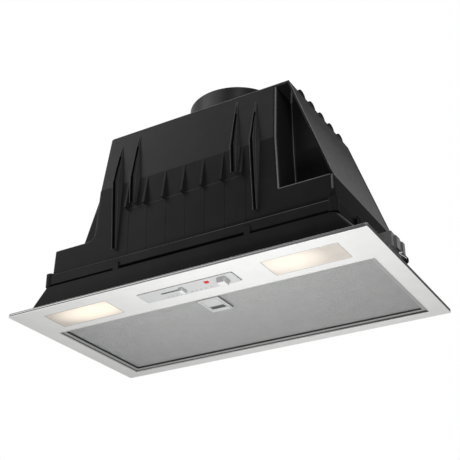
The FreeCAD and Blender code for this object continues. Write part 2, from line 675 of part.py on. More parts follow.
def make_lower_body():
    body = new_body("lower_body")
    low = both_ways_rounded(HALF_SKIRT, SKIRT_FRONT, SKIRT_BACK, "skirt_corner")
    heel = both_ways_rounded(f"{HALF_SKIRT} - heel_lean", SKIRT_FRONT, SKIRT_BACK, "skirt_corner")
    high = both_ways_rounded(HALF_SKIRT_TOP, SKIRT_FRONT, SKIRT_TOP_BACK, "skirt_corner")
    loft(body, [(low, INSIDE), (low, "0"), (heel, "skirt_heel"), (high, "seam")])
    inner_front = f"{SKIRT_FRONT} + skirt_front_wall"
    inner_low = both_ways_rounded(f"{HALF_SKIRT} - skirt_wall", inner_front, f"{SKIRT_BACK} - skirt_wall",
                                  "skirt_wall")
    inner_heel = both_ways_rounded(f"{HALF_SKIRT} - heel_lean - skirt_wall", inner_front,
                                   f"{SKIRT_BACK} - skirt_wall", "skirt_wall")
    inner_high = both_ways_rounded(f"{HALF_SKIRT_TOP} - 0.6*skirt_wall", inner_front,
                                   f"{SKIRT_TOP_BACK} - 0.6*skirt_wall", "skirt_wall")
    hollow(body, [(inner_low, INSIDE), (inner_low, "0"), (inner_heel, "skirt_heel"),
                  (inner_high, "seam - skirt_lip_thick")])
    mouth = both_ways_rounded(f"{HALF_SKIRT_TOP} - skirt_lip", f"{SKIRT_FRONT} + skirt_lip",
                              f"{SKIRT_TOP_BACK} - skirt_lip", "0.5*skirt_corner")
    pocket(body, "XY", [mouth], "0", "seam + play")
    foot = both_ways_rounded(f"{HALF_SKIRT} + foot", f"{SKIRT_FRONT} - foot", f"{SKIRT_BACK} + foot",
                             "skirt_corner")
    pad(body, "XY", [foot, inner_low], INSIDE, f"{INSIDE} + foot_thick")
    for side, _ in SIDES:
        left, right = on_side(side, "tab_x - 0.5*tab_width", "tab_x + 0.5*tab_width")
        pad(body, "XY", [rectangle(left, right, SKIRT_FRONT, f"{SKIRT_FRONT} + tab_thick")],
            "seam - skirt_lip_thick", "seam + tab_height")
        left, right = on_side(side, f"{HALF_SKIRT_TOP} + play", f"{HALF_SKIRT_TOP} + play + hook_thick")
        pad(body, "YZ", [hook_outline()], left, right)


def hook_outline():
    """A snap hook seen from the side: two prongs with sloping tips."""
    front, back = "hook_y - 0.5*hook_width", "hook_y + 0.5*hook_width"
    slot_front, slot_back = "hook_y - hook_slot", "hook_y"
    tip, throat = "seam + hook_rise", "seam + hook_root"
    return outline([(front, "seam - hook_root"), (back, "seam - hook_root"), (back, f"{tip} - hook_slope"),
                    (f"{back} - hook_slope", tip), (slot_back, tip), (slot_back, throat),
                    (slot_front, throat), (slot_front, tip), (f"{front} + 0.5*hook_slope", tip),
                    (front, f"{tip} - hook_slope")])


# Blower housing: a front shell with the block, the step and the notches, and a rear shell behind them


def side_profile(inset, bottom, top_level):
    """The housing seen from the front: straight at the ledge, then leaning in to the top."""
    right = [(f"{HALF_HOUSING} - {inset}", bottom), (f"{HALF_HOUSING} - {inset}", "band_top"),
             (f"{HALF_LEDGE} - {inset}", "ledge"), (f"{HALF_TOP} - {inset}", top_level)]
    left = [(flip(across), level) for across, level in reversed(right)]
    return outline(right + left)


def housing_step(inset):
    """Level outlines of the step below the notches, run on past the back of the front shell."""
    back = f"{NOTCH_BACK} + 2*housing_corner"
    front = f"{BLOCK_FRONT} + {inset}"
    neck = both_ways_rounded(f"{HALF_HOUSING} - {inset}", f"{STEP_FRONT} + {inset}", back, "housing_corner")
    low = both_ways_rounded(f"{HALF_HOUSING} - {inset}", front, back, "housing_corner")
    high = both_ways_rounded(f"{HALF_LEDGE} - {inset}", front, back, "housing_corner")
    return neck, low, high


def housing_block(inset):
    """Level outlines of the front block at the ledge, the crease and the top."""
    back = f"{NOTCH_BACK} + 2*housing_corner"

    def section(level, front):
        return rounded(f"-{level}_left + {inset}", f"{level}_right - {inset}", f"{front} + {inset}", back,
                       "housing_corner")

    levels = (("block", BLOCK_FRONT), ("crease", BLOCK_FRONT), ("block_top", BLOCK_TOP_FRONT))
    return [section(level, front) for level, front in levels]


def rib(body, along, left):
    """A half-round stiffening rib across the top."""
    pad(body, "YZ", [dome(along, "top", "rib_half", "rib_radius")], left, f"{HALF_TOP} - rib_inset")


RIB_FIRST = f"{NOTCH} - rib_set"


def gusset(body, across, kind):
    """A slit gusset on the front wall: deepest at the crease, tapering to its top and its foot."""
    rise = (value(f"{kind}_top") - value("crease")) / (value("top") - value("crease"))
    upper_wall = f"{BLOCK_FRONT} + {rise}*block_lean"
    root = f"{BLOCK_FRONT} + 0.5*housing_wall"

    def section(half, draft, back, front):
        """Across one level: the right-hand flank spreads towards the wall by the draft."""
        return outline([(f"{across} - {half}", front), (f"{across} + {half}", front),
                        (f"{across} + {half} + {draft}", back), (f"{across} - {half}", back)])

    tip = "fin_slot + fin_plate"
    loft(body, [(section("0.8*fin_slot + fin_plate", "fin_end", root, f"{BLOCK_FRONT} - {kind}_foot"),
                 f"{kind}_bottom"),
                (section(tip, "fin_draft", root, f"{BLOCK_FRONT} - {kind}_depth"), "crease"),
                (section("fin_end", "fin_end", f"{upper_wall} + 0.5*housing_wall", upper_wall),
                 f"{kind}_top")])
    hollow(body, [(section("0.8*fin_slot", "0", f"{BLOCK_FRONT} - fin_proud",
                           f"{BLOCK_FRONT} - {kind}_foot - fin_plate"), f"{kind}_bottom"),
                  (section("fin_slot", "0", f"{BLOCK_FRONT} - fin_proud",
                           f"{BLOCK_FRONT} - {kind}_depth - fin_plate"), "crease"),
                  (section("0.3*fin_end", "0", f"{upper_wall} - fin_proud", f"{upper_wall} - fin_plate"),
                   f"{kind}_top")])


def make_front_shell():
    body = new_body("housing_front")
    neck, step_low, step_high = housing_step("0")
    loft(body, [(neck, "seam"), (neck, "band_top - housing_wall"), (step_low, "band_top"),
                (step_high, "ledge")])
    pad(body, "XZ", [side_profile("0", "seam", "top")], NOTCH, NOTCH_BACK)
    block_low, block_middle, block_high = housing_block("0")
    loft(body, [(block_low, "ledge - housing_corner"), (block_middle, "crease"), (block_high, "top")])
    beyond = both_ways("0.5*panel_width", "0", "2*top")
    pocket(body, "XZ", [beyond], NOTCH_BACK, f"{NOTCH_BACK} + 4*housing_corner")
    ledge = value("ledge")
    notch = value(NOTCH)
    left_side = value("-block_left")
    right_side = value("block_right")

    def notch_foot(edge):
        box = edge.BoundBox
        level = abs(box.ZMin - ledge) < 0.01 and abs(box.ZMax - ledge) < 0.01
        return level and box.YLength > 20 and abs(0.5 * (box.XMin + box.XMax) - left_side) < 3

    def pocket_corner(edge):
        box = edge.BoundBox
        upright = box.ZLength > 40 and box.YLength < 0.01 and abs(box.YMin - notch) < 0.01
        return upright and abs(0.5 * (box.XMin + box.XMax) - right_side) < 5

    soften(body, "notch_round", notch_foot)
    soften(body, "pocket_round", pocket_corner)
    # wall and lip that close the right-hand pocket
    web = outline([(HALF_LEDGE, "ledge"), (HALF_TOP, "top"), (f"{HALF_TOP} - web", "top"),
                   (f"{HALF_LEDGE} - web", "ledge")])
    pad(body, "XZ", [web], BLOCK_TOP_FRONT, f"{NOTCH} + 0.5*housing_wall")
    pad(body, "XY", [rectangle("block_top_right - housing_corner", f"{HALF_TOP} - 0.5*web",
                               BLOCK_TOP_FRONT, f"{NOTCH} + 0.5*housing_wall")], "top - lip", "top")
    rib(body, RIB_FIRST, "-block_top_left + rib_inset")
    # raised band above the seam, with a cap on each front corner
    band = both_ways_rounded(f"{HALF_HOUSING} + band_out", f"{STEP_FRONT} - band_out",
                             f"{NOTCH_BACK} + housing_corner", "housing_corner")
    pad(body, "XY", [band], "band_low", "band_top")
    for side, _ in SIDES:
        outer = f"{HALF_HOUSING} + band_out + corner_cap"
        left, right = on_side(side, f"{outer} - corner_cap_width", outer)
        front = f"{STEP_FRONT} - band_out - corner_cap"
        pad(body, "XY", [rounded(left, right, front, f"{front} + corner_cap_width", "housing_corner")],
            "band_low", "band_low + corner_cap_height")
    # slit gussets, wedges and the shallow apron on the front wall
    for side, _ in SIDES:
        gusset(body, sided(side, "fin_x"), "fin")
        gusset(body, sided(side, "short_fin_x"), "short_fin")
    root = f"{BLOCK_FRONT} + 0.5*housing_wall"

    def on_front_wall(proud):
        return rectangle(f"{BLOCK_FRONT} - {proud}", root, "band_top", "wedge_bottom")

    pad(body, "YZ", [on_front_wall("apron")], "-apron_half", "apron_half")
    wedge = outline([(root, "crease + wedge_rise"), (f"{BLOCK_FRONT} - wedge_depth", "wedge_bottom"),
                     (root, "wedge_bottom")])
    for index in range(int(value("wedge_count"))):
        across = f"{index - 0.5 * (value('wedge_count') - 1)}*wedge_pitch"
        pad(body, "YZ", [wedge], f"{across} - 0.5*wedge_thick", f"{across} + 0.5*wedge_thick")
        pad(body, "YZ", [on_front_wall("reed")], f"{across} - 0.5*reed_width", f"{across} + 0.5*reed_width")
    # inside: one wall thickness all round, open to the rear shell
    neck, step_low, step_high = housing_step("housing_wall")
    hollow(body, [(neck, "seam - play"), (neck, "band_top - 2*housing_wall"),
                  (step_low, "band_top - housing_wall"), (step_high, "ledge - housing_wall")])
    block_low, block_middle, block_high = housing_block("housing_wall")
    hollow(body, [(block_low, "ledge - 2*housing_corner"), (block_middle, "crease"),
                  (block_high, "top - housing_wall")])
    pocket(body, "XZ", [beyond], NOTCH_BACK, f"{NOTCH_BACK} + 4*housing_corner")
    # seam slot between the front tabs
    pocket(body, "XZ", [both_ways("tab_x - 0.5*tab_width", "band_low - play", "band_low + seam_slot")],
           f"{STEP_FRONT} - 2*band_out", f"{STEP_FRONT} + 0.5*housing_wall")
    clear_collar(body)


def clear_collar(body):
    """Room for the collar's flange on the top, and the hole for its spigot."""
    pocket(body, "XY", [circle("outlet_x", "outlet_y", "collar_radius + collar_flange + play")],
           "top", "top + rib_radius")
    pocket(body, "XY", [circle("outlet_x", "outlet_y", "collar_radius + collar_gap")],
           "top - 2*housing_wall", "top + play")


def make_rear_shell():
    body = new_body("housing_rear")
    pad(body, "XZ", [side_profile("0", "seam", "top")], NOTCH_BACK, HOUSING_BACK)
    band = both_ways_rounded(f"{HALF_HOUSING} + band_out", f"{NOTCH_BACK} - 2*housing_corner",
                             f"{HOUSING_BACK} + band_out", "housing_corner")
    pad(body, "XY", [band], "band_low", "band_top")
    for index in range(int(value("rib_count"))):
        left = flip(HALF_TOP) if index else "-block_top_left"
        rib(body, f"{RIB_FIRST} + {index}*rib_pitch", f"{left} + rib_inset")
    pocket(body, "XZ", [side_profile("housing_wall", "seam - play", "top - housing_wall")],
           f"{NOTCH_BACK} - 3*housing_corner", f"{HOUSING_BACK} - housing_wall")
    beyond = both_ways("0.5*panel_width", "0", "2*top")
    pocket(body, "XZ", [beyond], f"{NOTCH_BACK} - 5*housing_corner", NOTCH_BACK)
    clear_collar(body)
    pocket(body, "XZ", [circle("gland_x", "gland_z", "gland_radius + play")],
           f"{HOUSING_BACK} - 2*housing_wall", f"{HOUSING_BACK} + play")


def make_collar():
    body = new_body("outlet_collar")
    inner = "collar_radius - collar_wall"
    flange_top = "top + collar_flange_thick"
    turn(body, [(f"{inner} - seat_width", "collar_bottom"), ("collar_radius", "collar_bottom"),
                ("collar_radius", "top"), ("collar_radius + collar_flange", "top"),
                ("collar_radius + collar_flange", flange_top), ("collar_radius", flange_top),
                ("collar_radius", "collar_top"), (inner, "collar_top"),
                (inner, "collar_bottom + seat_thick"),
                (f"{inner} - seat_width", "collar_bottom + seat_thick")], "V_Axis")
    put(body, "outlet_x", "outlet_y", "0")


SEAT = "collar_bottom + seat_thick"
PIVOT_Z = f"{SEAT} + flap_pivot_lift"
PIVOT_OUT = "0.5*bar_width + flap_barrel + flap_gap"


def inside_collar(gap, bottom, top_level):
    return rod_z("outlet_x", "outlet_y", bottom, top_level, f"collar_radius - collar_wall - {gap}")


def make_damper():
    beam = block("outlet_x - 0.5*bar_width", "outlet_x + 0.5*bar_width", "outlet_y - collar_radius",
                 "outlet_y + collar_radius", SEAT, f"{SEAT} + bar_height")
    trimmed = document.addObject("Part::Common", "trimmed")
    trimmed.Base = beam
    trimmed.Tool = inside_collar("collar_gap", SEAT, f"{SEAT} + bar_height")
    ears = [trimmed]
    bores = []
    for side, _ in SIDES:
        pivot = f"outlet_x + {sided(side, PIVOT_OUT)}"
        left, right = on_side(side, "0.4*bar_width", f"{PIVOT_OUT} + flap_barrel")
        for end in (-1, 1):
            low, high = on_side(end, "ear_room", "ear_room + ear_thick")
            ears.append(block(f"outlet_x + {left}", f"outlet_x + {right}", f"outlet_y + {low}",
                              f"outlet_y + {high}", f"{SEAT} + flap_lift", f"{PIVOT_Z} + flap_barrel"))
            bores.append(rod_y(pivot, f"outlet_y + {low} - play", f"outlet_y + {high} + play", PIVOT_Z,
                               "flap_pin + pivot_gap"))
    keep(cut(fuse(*ears), *bores), "damper_bar")

    for side, word in SIDES:
        pivot = f"outlet_x + {sided(side, PIVOT_OUT)}"
        disc = inside_collar("flap_gap", f"{SEAT} + flap_lift", f"{SEAT} + flap_lift + flap_thick")
        left, right = on_side(side, f"{PIVOT_OUT} - flap_pin", "collar_radius")
        half = document.addObject("Part::Common", "half_disc")
        half.Base = disc
        half.Tool = block(f"outlet_x + {left}", f"outlet_x + {right}", "outlet_y - collar_radius",
                          "outlet_y + collar_radius", SEAT, "collar_top")
        # corners cleared round the two ears of the bar
        left, right = on_side(side, "0", f"{PIVOT_OUT} + flap_barrel + flap_gap")
        ends = []
        for end in (-1, 1):
            low, high = on_side(end, "ear_room - flap_gap", "collar_radius")
            ends.append(block(f"outlet_x + {left}", f"outlet_x + {right}", f"outlet_y + {low}",
                              f"outlet_y + {high}", SEAT, "collar_top"))
        barrel = rod_y(pivot, "outlet_y - ear_room + flap_gap", "outlet_y + ear_room - flap_gap", PIVOT_Z,
                       "flap_barrel")
        pin = rod_y(pivot, "outlet_y - ear_room - ear_thick + play",
                    "outlet_y + ear_room + ear_thick - play", PIVOT_Z, "flap_pin")
        rib_left, rib_right = on_side(side, PIVOT_OUT, f"{PIVOT_OUT} + flap_arm")
        arm = block(f"outlet_x + {rib_left}", f"outlet_x + {rib_right}", "outlet_y - ear_room + flap_gap",
                    "outlet_y + ear_room - flap_gap", f"{SEAT} + flap_lift", PIVOT_Z)
        keep(fuse(cut(half, *ends), barrel, pin, arm), f"damper_flap_{word}")


# Blower: the scroll grows evenly from its tongue round to the outlet at the back


def scroll_point(angle, extra):
    grown = (angle - value("tongue_angle")) / (360 - value("tongue_angle"))
    radius = value("scroll_start") + grown * (value("scroll_end") - value("scroll_start")) + extra
    turned = math.radians(angle)
    along = value("axis_y") + radius * math.cos(turned)
    return Vector(0, along, value("axis_z") + radius * math.sin(turned))


SCROLL_ARCS = 6


def scroll_edges(extra):
    """The spiral from the tongue to the back as arcs, then straight up to the outlet plate and across it."""
    start = value("tongue_angle") + (value("tongue_lap") if extra else 0)
    count = 2 * SCROLL_ARCS
    points = [scroll_point(start + (360 - start) * i / count, extra) for i in range(count + 1)]
    arcs = [Part.Arc(*points[i:i + 3]).toShape() for i in range(0, count, 2)]
    level = value("collar_bottom - scroll_plate")
    back = Vector(0, points[-1].y, level)
    front = Vector(0, value("diffuser_front") - 1.5 * extra, level)
    return [Part.makeLine(front, points[0])] + arcs + [Part.makeLine(points[-1], back)], front, back


def moved_x(shape, across):
    shape.translate(Vector(across, 0, 0))
    return shape


def make_scroll():
    wall = value("scroll_wall")
    centre = value("outlet_x")
    half = value("scroll_half")
    inner, inner_front, inner_back = scroll_edges(0)
    outer, outer_front, outer_back = scroll_edges(wall)
    loop = inner + outer + [Part.makeLine(inner_front, outer_front), Part.makeLine(inner_back, outer_back)]
    wrap = Part.Face(Part.Wire(Part.__sortEdges__(loop))).extrude(Vector(2 * half, 0, 0))
    wrap = moved_x(wrap, centre - half)
    plate_half = half + value("scroll_plate_margin")
    level = value("collar_bottom - scroll_plate")
    front = value("outlet_y - collar_radius")
    depth = outer_back.y + 0.5 * wall - front
    corner = Vector(centre - plate_half, front, level)
    plate = Part.makeBox(2 * plate_half, depth, value("scroll_plate"), corner)
    throat = Part.makeCylinder(value("collar_radius - collar_wall - seat_width"), value("scroll_plate"),
                               Vector(centre, value("outlet_y"), level))
    shaped(wrap.fuse(plate.cut(throat)).removeSplitter(), "scroll_wrap")

    side_loop = outer + [Part.makeLine(outer_front, outer_back)]
    side_face = Part.Face(Part.Wire(Part.__sortEdges__(side_loop)))
    eye = Vector(0, value("axis_y"), value("axis_z"))
    radius = value("inlet_radius")
    flare = value("inlet_flare")
    reach = value("inlet_depth")
    for side, word in SIDES:
        sheet_x = centre + side * half
        panel = moved_x(side_face.extrude(Vector(side * wall, 0, 0)), sheet_x)
        direction = Vector(side, 0, 0)
        start = Vector(sheet_x, eye.y, eye.z)
        hole = Part.makeCylinder(radius, wall, start, direction)
        mouth = Part.makeCone(radius + wall, radius + flare + wall, reach, start, direction)
        throat = Part.makeCone(radius, radius + flare, reach, start, direction)
        shaped(panel.cut(hole).fuse(mouth.cut(throat)).removeSplitter(), f"scroll_side_{word}")


def make_impeller():
    centre = value("outlet_x")
    half = value("wheel_half")
    radius = value("wheel_radius")
    ring = value("wheel_ring")
    rim = value("blade_rim")
    inner = value("wheel_eye")
    thick = value("blade_thick")
    eye = Vector(0, value("axis_y"), value("axis_z"))
    axis = Vector(1, 0, 0)

    def disc(outer, low, length):
        return Part.makeCylinder(outer, length, Vector(centre + low, eye.y, eye.z), axis)

    middle = 0.5 * value("wheel_disc")
    bore = disc(value("shaft_radius + 0.4*pivot_gap"), -half, 2 * half)
    wheel = disc(radius, -middle, 2 * middle).fuse(disc(value("hub_radius"), -0.5 * value("hub_length"),
                                                        value("hub_length"))).cut(bore)
    rings = [disc(radius, low, ring).cut(disc(inner, low, ring)) for low in (-half, half - ring)]
    # leaning blades between the centre disc and the end rings
    blades = []
    count = int(value("blade_count"))
    chord = (radius - inner - 2 * rim) / math.cos(math.radians(value("blade_lean"))) * 0.9
    for low, high in ((-half + ring, -middle), (middle, half - ring)):
        blade = Part.makeBox(high - low, chord, thick, Vector(centre + low, eye.y + inner + rim, eye.z))
        blade.rotate(Vector(0, eye.y + inner + rim, eye.z), axis, value("blade_lean"))
        for index in range(count):
            copy = blade.copy()
            copy.rotate(eye, axis, 360 * index / count)
            blades.append(copy)
    shaped(wheel.multiFuse(rings + blades), "impeller")


MOTOR_END = "outlet_x - motor_room"
MOTOR_START = f"{MOTOR_END} - motor_length"
SIDE_SHEET = "outlet_x - scroll_half - scroll_wall"
BRACKET = f"{SIDE_SHEET} - grommet_length"
ARM_ANGLES = (30, 150, 270)


def make_motor():
    shaft = rod_x(f"{MOTOR_END} - shaft_tail", "outlet_x + shaft_end", "axis_y", "axis_z", "shaft_radius")
    keep(shaft, "motor_shaft")
    body = new_body("motor_body")
    soft = "0.1*motor_radius"
    turn(body, [("0", "0"), ("0", f"motor_radius - {soft}"), (soft, "motor_radius"),
                (f"motor_length - {soft} - motor_nose", "motor_radius"),
                ("motor_length - motor_nose", f"motor_radius - {soft}"),
                ("motor_length - motor_nose", "motor_nose_radius"), ("motor_length", "motor_nose_radius"),
                ("motor_length", "shaft_radius + pivot_gap"),
                ("motor_length - shaft_tail - play", "shaft_radius + pivot_gap"),
                ("motor_length - shaft_tail - play", "0")], "H_Axis")
    put(body, MOTOR_START, "axis_y", "axis_z")

    low = f"{BRACKET} - bracket_thick"
    ring = cut(rod_x(low, BRACKET, "axis_y", "axis_z", "motor_radius + bracket_ring"),
               rod_x(f"{low} - play", f"{BRACKET} + play", "axis_y", "axis_z", "motor_radius + pivot_gap"))
    arms = []
    grommets = []
    for angle in ARM_ANGLES:
        arm = block(low, BRACKET, "-0.5*bracket_arm", "0.5*bracket_arm",
                    "motor_radius + 0.5*bracket_ring", "bracket_reach")
        grommet = rod_x(BRACKET, SIDE_SHEET, "0", "grommet_circle", "grommet_radius")
        for piece, pieces in ((arm, arms), (grommet, grommets)):
            pieces.append(turned_about_axis(piece, angle))
    keep(fuse(ring, *arms), "motor_bracket")
    group(grommets, "motor_grommets")


def turned_about_axis(piece, angle):
    """A piece drawn above the x axis, swung about it and moved to the blower's axis."""
    holder = document.addObject("Part::Compound", "swung")
    holder.Links = [piece]
    holder.Placement = Placement(Vector(), Rotation(Vector(1, 0, 0), angle - 90))
    put(holder, "0", "axis_y", "axis_z")
    return holder


def make_gland():
    outside = f"{HOUSING_BACK} + gland_collar_thick"
    inside = f"{HOUSING_BACK} - housing_wall - gland_collar_thick"
    stem = rod_y("gland_x", inside, f"{HOUSING_BACK} + gland_length", "gland_z", "gland_radius")
    front = rod_y("gland_x", HOUSING_BACK, outside, "gland_z", "gland_collar")
    back = rod_y("gland_x", inside, f"{HOUSING_BACK} - housing_wall", "gland_z", "gland_collar")
    bore = rod_y("gland_x", f"{inside} - play", f"{HOUSING_BACK} + gland_length + play", "gland_z",
                 "gland_bore")
    keep(cut(fuse(stem, front, back), bore), "mains_gland")


def make_clip(side, word):
    rear = "clip_length - clip_front"
    slope = value("skirt_lean") / value("seam")
    foot_x = f"{HALF_SKIRT} - {slope}*clip_foot"
    seam_x = f"{HALF_SKIRT} - {slope}*seam + {slope}*clip_slope"
    neck = f"{HALF_SKIRT} + clip_neck"
    reach = f"{HALF_SKIRT} + clip_reach"
    pivot = f"{HALF_SKIRT} - lever_inset"

    def section(points):
        return outline([(sided(side, across), level) for across, level in points])

    bracket = new_body(f"clip_bracket_{word}")
    pad(bracket, "XZ", [section([(foot_x, "clip_foot"), (neck, "clip_foot"), (neck, "clip_under"),
                                 (reach, "clip_under + clip_slope"), (reach, "clip_top"),
                                 (f"{seam_x} + 4*clip_slope", "clip_top"), (seam_x, "seam - clip_slope")])],
        "-clip_front", rear)
    # upright ribs on the outer face
    rib_front = "clip_rib_set - clip_front"
    left, right = on_side(side, f"{reach} - clip_rib", f"{reach} + clip_rib")
    for front, back in ((rib_front, f"{rib_front} + clip_rib_width"), (f"{rear} - clip_end_rib", rear)):
        pad(bracket, "XY", [rectangle(left, right, front, back)], "clip_under + clip_slope",
            "clip_top - 0.5*clip_slope")
    pad(bracket, "XZ", [circle(sided(side, pivot), "lever_z", "lever_pin")], f"{rear} - lever_pin",
        f"{rear} + lever_width + 2*play")

    lever = new_body(f"clip_lever_{word}")
    low, high = f"{rear} + play", f"{rear} + play + lever_width"
    pad(lever, "XZ", [section([(f"{pivot} - lever_thick", "lever_z + lever_head"),
                               (f"{pivot} + lever_head", "lever_z + lever_head"),
                               (f"{pivot} + lever_head", "lever_z - lever_head"),
                               (f"{pivot} + lever_nose", "lever_tip + lever_nose"),
                               (f"{pivot} + lever_nose", "lever_tip + 0.5*lever_nose"),
                               (f"{pivot} + lever_thick", "lever_tip"), (pivot, "lever_tip")])], low, high)
    pocket(lever, "XZ", [circle(sided(side, pivot), "lever_z", "lever_pin + pivot_gap")],
           f"{low} - play", f"{high} + play")

    left, right = on_side(side, f"{neck} - spring_width", neck)
    keep(block(left, right, f"{rear} - spring_length", rear, "clip_foot - spring_thick", "clip_foot"),
         f"clip_spring_{word}")


def make_screws():
    heads = []
    for side, _ in SIDES:
        across = sided(side, "0.5*panel_width - panel_screw_inset")
        for along in (f"{SKIRT_FRONT} - 0.5*foot", f"{SKIRT_BACK} + 0.5*foot"):
            heads.append(rod_z(across, along, f"{INSIDE} + foot_thick",
                               f"{INSIDE} + foot_thick + screw_head_height", "0.45*foot"))
    group(heads, "panel_screws")


make_face_panel()
make_filter_frame()
make_filter_mesh()
make_latch()
make_control_strip()
make_pilot()
make_electrics()
make_lower_body()
make_front_shell()
make_rear_shell()
make_collar()
make_damper()
make_scroll()
make_impeller()
make_motor()
make_gland()
make_screws()
for knob in ("speed", "light"):
    make_knob(knob)
    make_switch(knob)
for side, word in SIDES:
    make_hinge_lug(side, word)
    make_lamp(side, word)
    make_clip(side, word)
document.recompute()

for item in document.Objects:
    if "Invalid" in item.State or "Error" in item.State:
        raise ValueError(f"{item.Label} of {item.Name} failed: {item.State}")
for label, item in sub_parts.items():
    if item.Shape.isNull() or not item.Shape.isValid():
        raise ValueError(f"{label} has no valid shape")

os.makedirs("parts", exist_ok=True)
for label, item in sub_parts.items():
    item.Shape.exportStep(f"parts/{label}.step")
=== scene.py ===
import json
import math

import bpy
from mathutils import Matrix, Vector


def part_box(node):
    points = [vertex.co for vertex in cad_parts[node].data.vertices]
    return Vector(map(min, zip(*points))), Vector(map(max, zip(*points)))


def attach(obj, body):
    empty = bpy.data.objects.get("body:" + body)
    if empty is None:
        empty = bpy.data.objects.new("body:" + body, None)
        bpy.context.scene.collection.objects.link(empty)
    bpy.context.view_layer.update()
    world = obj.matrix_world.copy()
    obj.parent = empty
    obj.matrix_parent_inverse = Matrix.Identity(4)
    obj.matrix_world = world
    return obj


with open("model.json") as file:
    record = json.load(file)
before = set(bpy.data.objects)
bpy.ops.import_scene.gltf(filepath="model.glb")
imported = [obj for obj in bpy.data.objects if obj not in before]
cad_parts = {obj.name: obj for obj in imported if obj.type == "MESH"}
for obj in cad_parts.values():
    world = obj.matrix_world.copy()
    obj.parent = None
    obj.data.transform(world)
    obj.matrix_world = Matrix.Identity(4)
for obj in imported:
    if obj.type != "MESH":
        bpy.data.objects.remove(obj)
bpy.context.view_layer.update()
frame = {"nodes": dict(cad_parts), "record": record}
nodes = frame["nodes"]

MM = 0.001


# Helpers for shader nodes

# sockets of a colour mix: its factor, its two colours and its result
MIX_FACTOR, MIX_FIRST, MIX_SECOND, MIX_RESULT = 0, 6, 7, 2
# the span that holds most values of a noise texture
NOISE_SPAN = (0.3, 0.7)
BLACK, WHITE = (0.0, 0.0, 0.0), (1.0, 1.0, 1.0)


def grey(tone):
    return (tone, tone, tone)


def link(tree, source, target):
    tree.links.new(source, target)


def calculate(tree, operation, *values):
    """Math node; each value is a number or another node's output."""
    node = tree.nodes.new("ShaderNodeMath")
    node.operation = operation
    for value, target in zip(values, node.inputs):
        if isinstance(value, float):
            target.default_value = value
        else:
            link(tree, value, target)
    return node.outputs[0]


def map_range(tree, value, before, after=(0.0, 1.0), clamp=True):
    """Carry the range before over to the range after."""
    node = tree.nodes.new("ShaderNodeMapRange")
    node.clamp = clamp
    for name, number in zip(("From Min", "From Max", "To Min", "To Max"), (*before, *after)):
        node.inputs[name].default_value = number
    link(tree, value, node.inputs["Value"])
    return node.outputs["Result"]


def blend(tree, factor, first, second):
    """Mix of two colours; each is a tuple or another node's output."""
    node = tree.nodes.new("ShaderNodeMix")
    node.data_type = "RGBA"
    link(tree, factor, node.inputs[MIX_FACTOR])
    for colour, socket in ((first, MIX_FIRST), (second, MIX_SECOND)):
        if isinstance(colour, tuple):
            node.inputs[socket].default_value = (*colour, 1.0)
        else:
            link(tree, colour, node.inputs[socket])
    return node.outputs[MIX_RESULT]


def colour_ramp(tree, factor, stops, stepped=False):
    """Colours along a factor; the stops are (position, colour) pairs from 0.0 to 1.0."""
    node = tree.nodes.new("ShaderNodeValToRGB")
    elements = node.color_ramp.elements
    if stepped:
        node.color_ramp.interpolation = "CONSTANT"
    for element, (_, colour) in zip(elements, (stops[0], stops[-1])):
        element.color = (*colour, 1.0)
    for position, colour in stops[1:-1]:
        elements.new(position).color = (*colour, 1.0)
    link(tree, factor, node.inputs["Fac"])
    return node.outputs["Color"]


def axes(tree, kind):
    """X, Y and Z of the surface's normal, or of its place on the object."""
    place = tree.nodes.new("ShaderNodeTexCoord")
    split = tree.nodes.new("ShaderNodeSeparateXYZ")
    link(tree, place.outputs[kind], split.inputs["Vector"])
    return split.outputs


def noise(tree, vector, scale, detail=3.0):
    texture = tree.nodes.new("ShaderNodeTexNoise")
    texture.inputs["Scale"].default_value = scale
    texture.inputs["Detail"].default_value = detail
    link(tree, vector, texture.inputs["Vector"])
    return texture.outputs["Fac"]


def bump(tree, height, depth, strength):
    node = tree.nodes.new("ShaderNodeBump")
    node.inputs["Distance"].default_value = depth
    node.inputs["Strength"].default_value = strength
    link(tree, height, node.inputs["Height"])
    return node.outputs["Normal"]


# Procedural materials: each has cloudy colour, uneven roughness and a fine surface grain

# how much finer the patches of roughness are than the clouds of colour, and the grain's detail
SMEAR_FINENESS, GRAIN_DETAIL = 3.0, 2.0
# grain is the bumps' scale, their depth in metres and their strength
FINE_GRAIN = (2600.0, 0.00004, 0.2)
MOULDED_GRAIN = (1900.0, 0.00002, 0.1)
SOFT_GRAIN = (2600.0, 0.00006, 0.3)
UNSTRETCHED = (1.0, 1.0, 1.0)


def finish(name, colour, spread, rough, grain, metallic=0.0, ior=1.5, streak=UNSTRETCHED, cloud=45.0):
    """Material whose tone varies by the spread and whose roughness varies within its range."""
    material = bpy.data.materials.new(name)
    material.use_nodes = True
    tree = material.node_tree
    surface = tree.nodes["Principled BSDF"]
    place = tree.nodes.new("ShaderNodeTexCoord")
    stretch = tree.nodes.new("ShaderNodeMapping")
    stretch.inputs["Scale"].default_value = streak
    link(tree, place.outputs["Object"], stretch.inputs["Vector"])
    vector = stretch.outputs["Vector"]
    clouds = map_range(tree, noise(tree, vector, cloud), NOISE_SPAN)
    dark = tuple(c * (1.0 - spread) for c in colour)
    light = tuple(min(1.0, c * (1.0 + spread)) for c in colour)
    link(tree, blend(tree, clouds, dark, light), surface.inputs["Base Color"])
    smears = noise(tree, vector, SMEAR_FINENESS * cloud)
    link(tree, map_range(tree, smears, NOISE_SPAN, rough), surface.inputs["Roughness"])
    scale, depth, strength = grain
    bumps = bump(tree, noise(tree, vector, scale, GRAIN_DETAIL), depth, strength)
    link(tree, bumps, surface.inputs["Normal"])
    surface.inputs["Metallic"].default_value = metallic
    surface.inputs["IOR"].default_value = ior
    return material


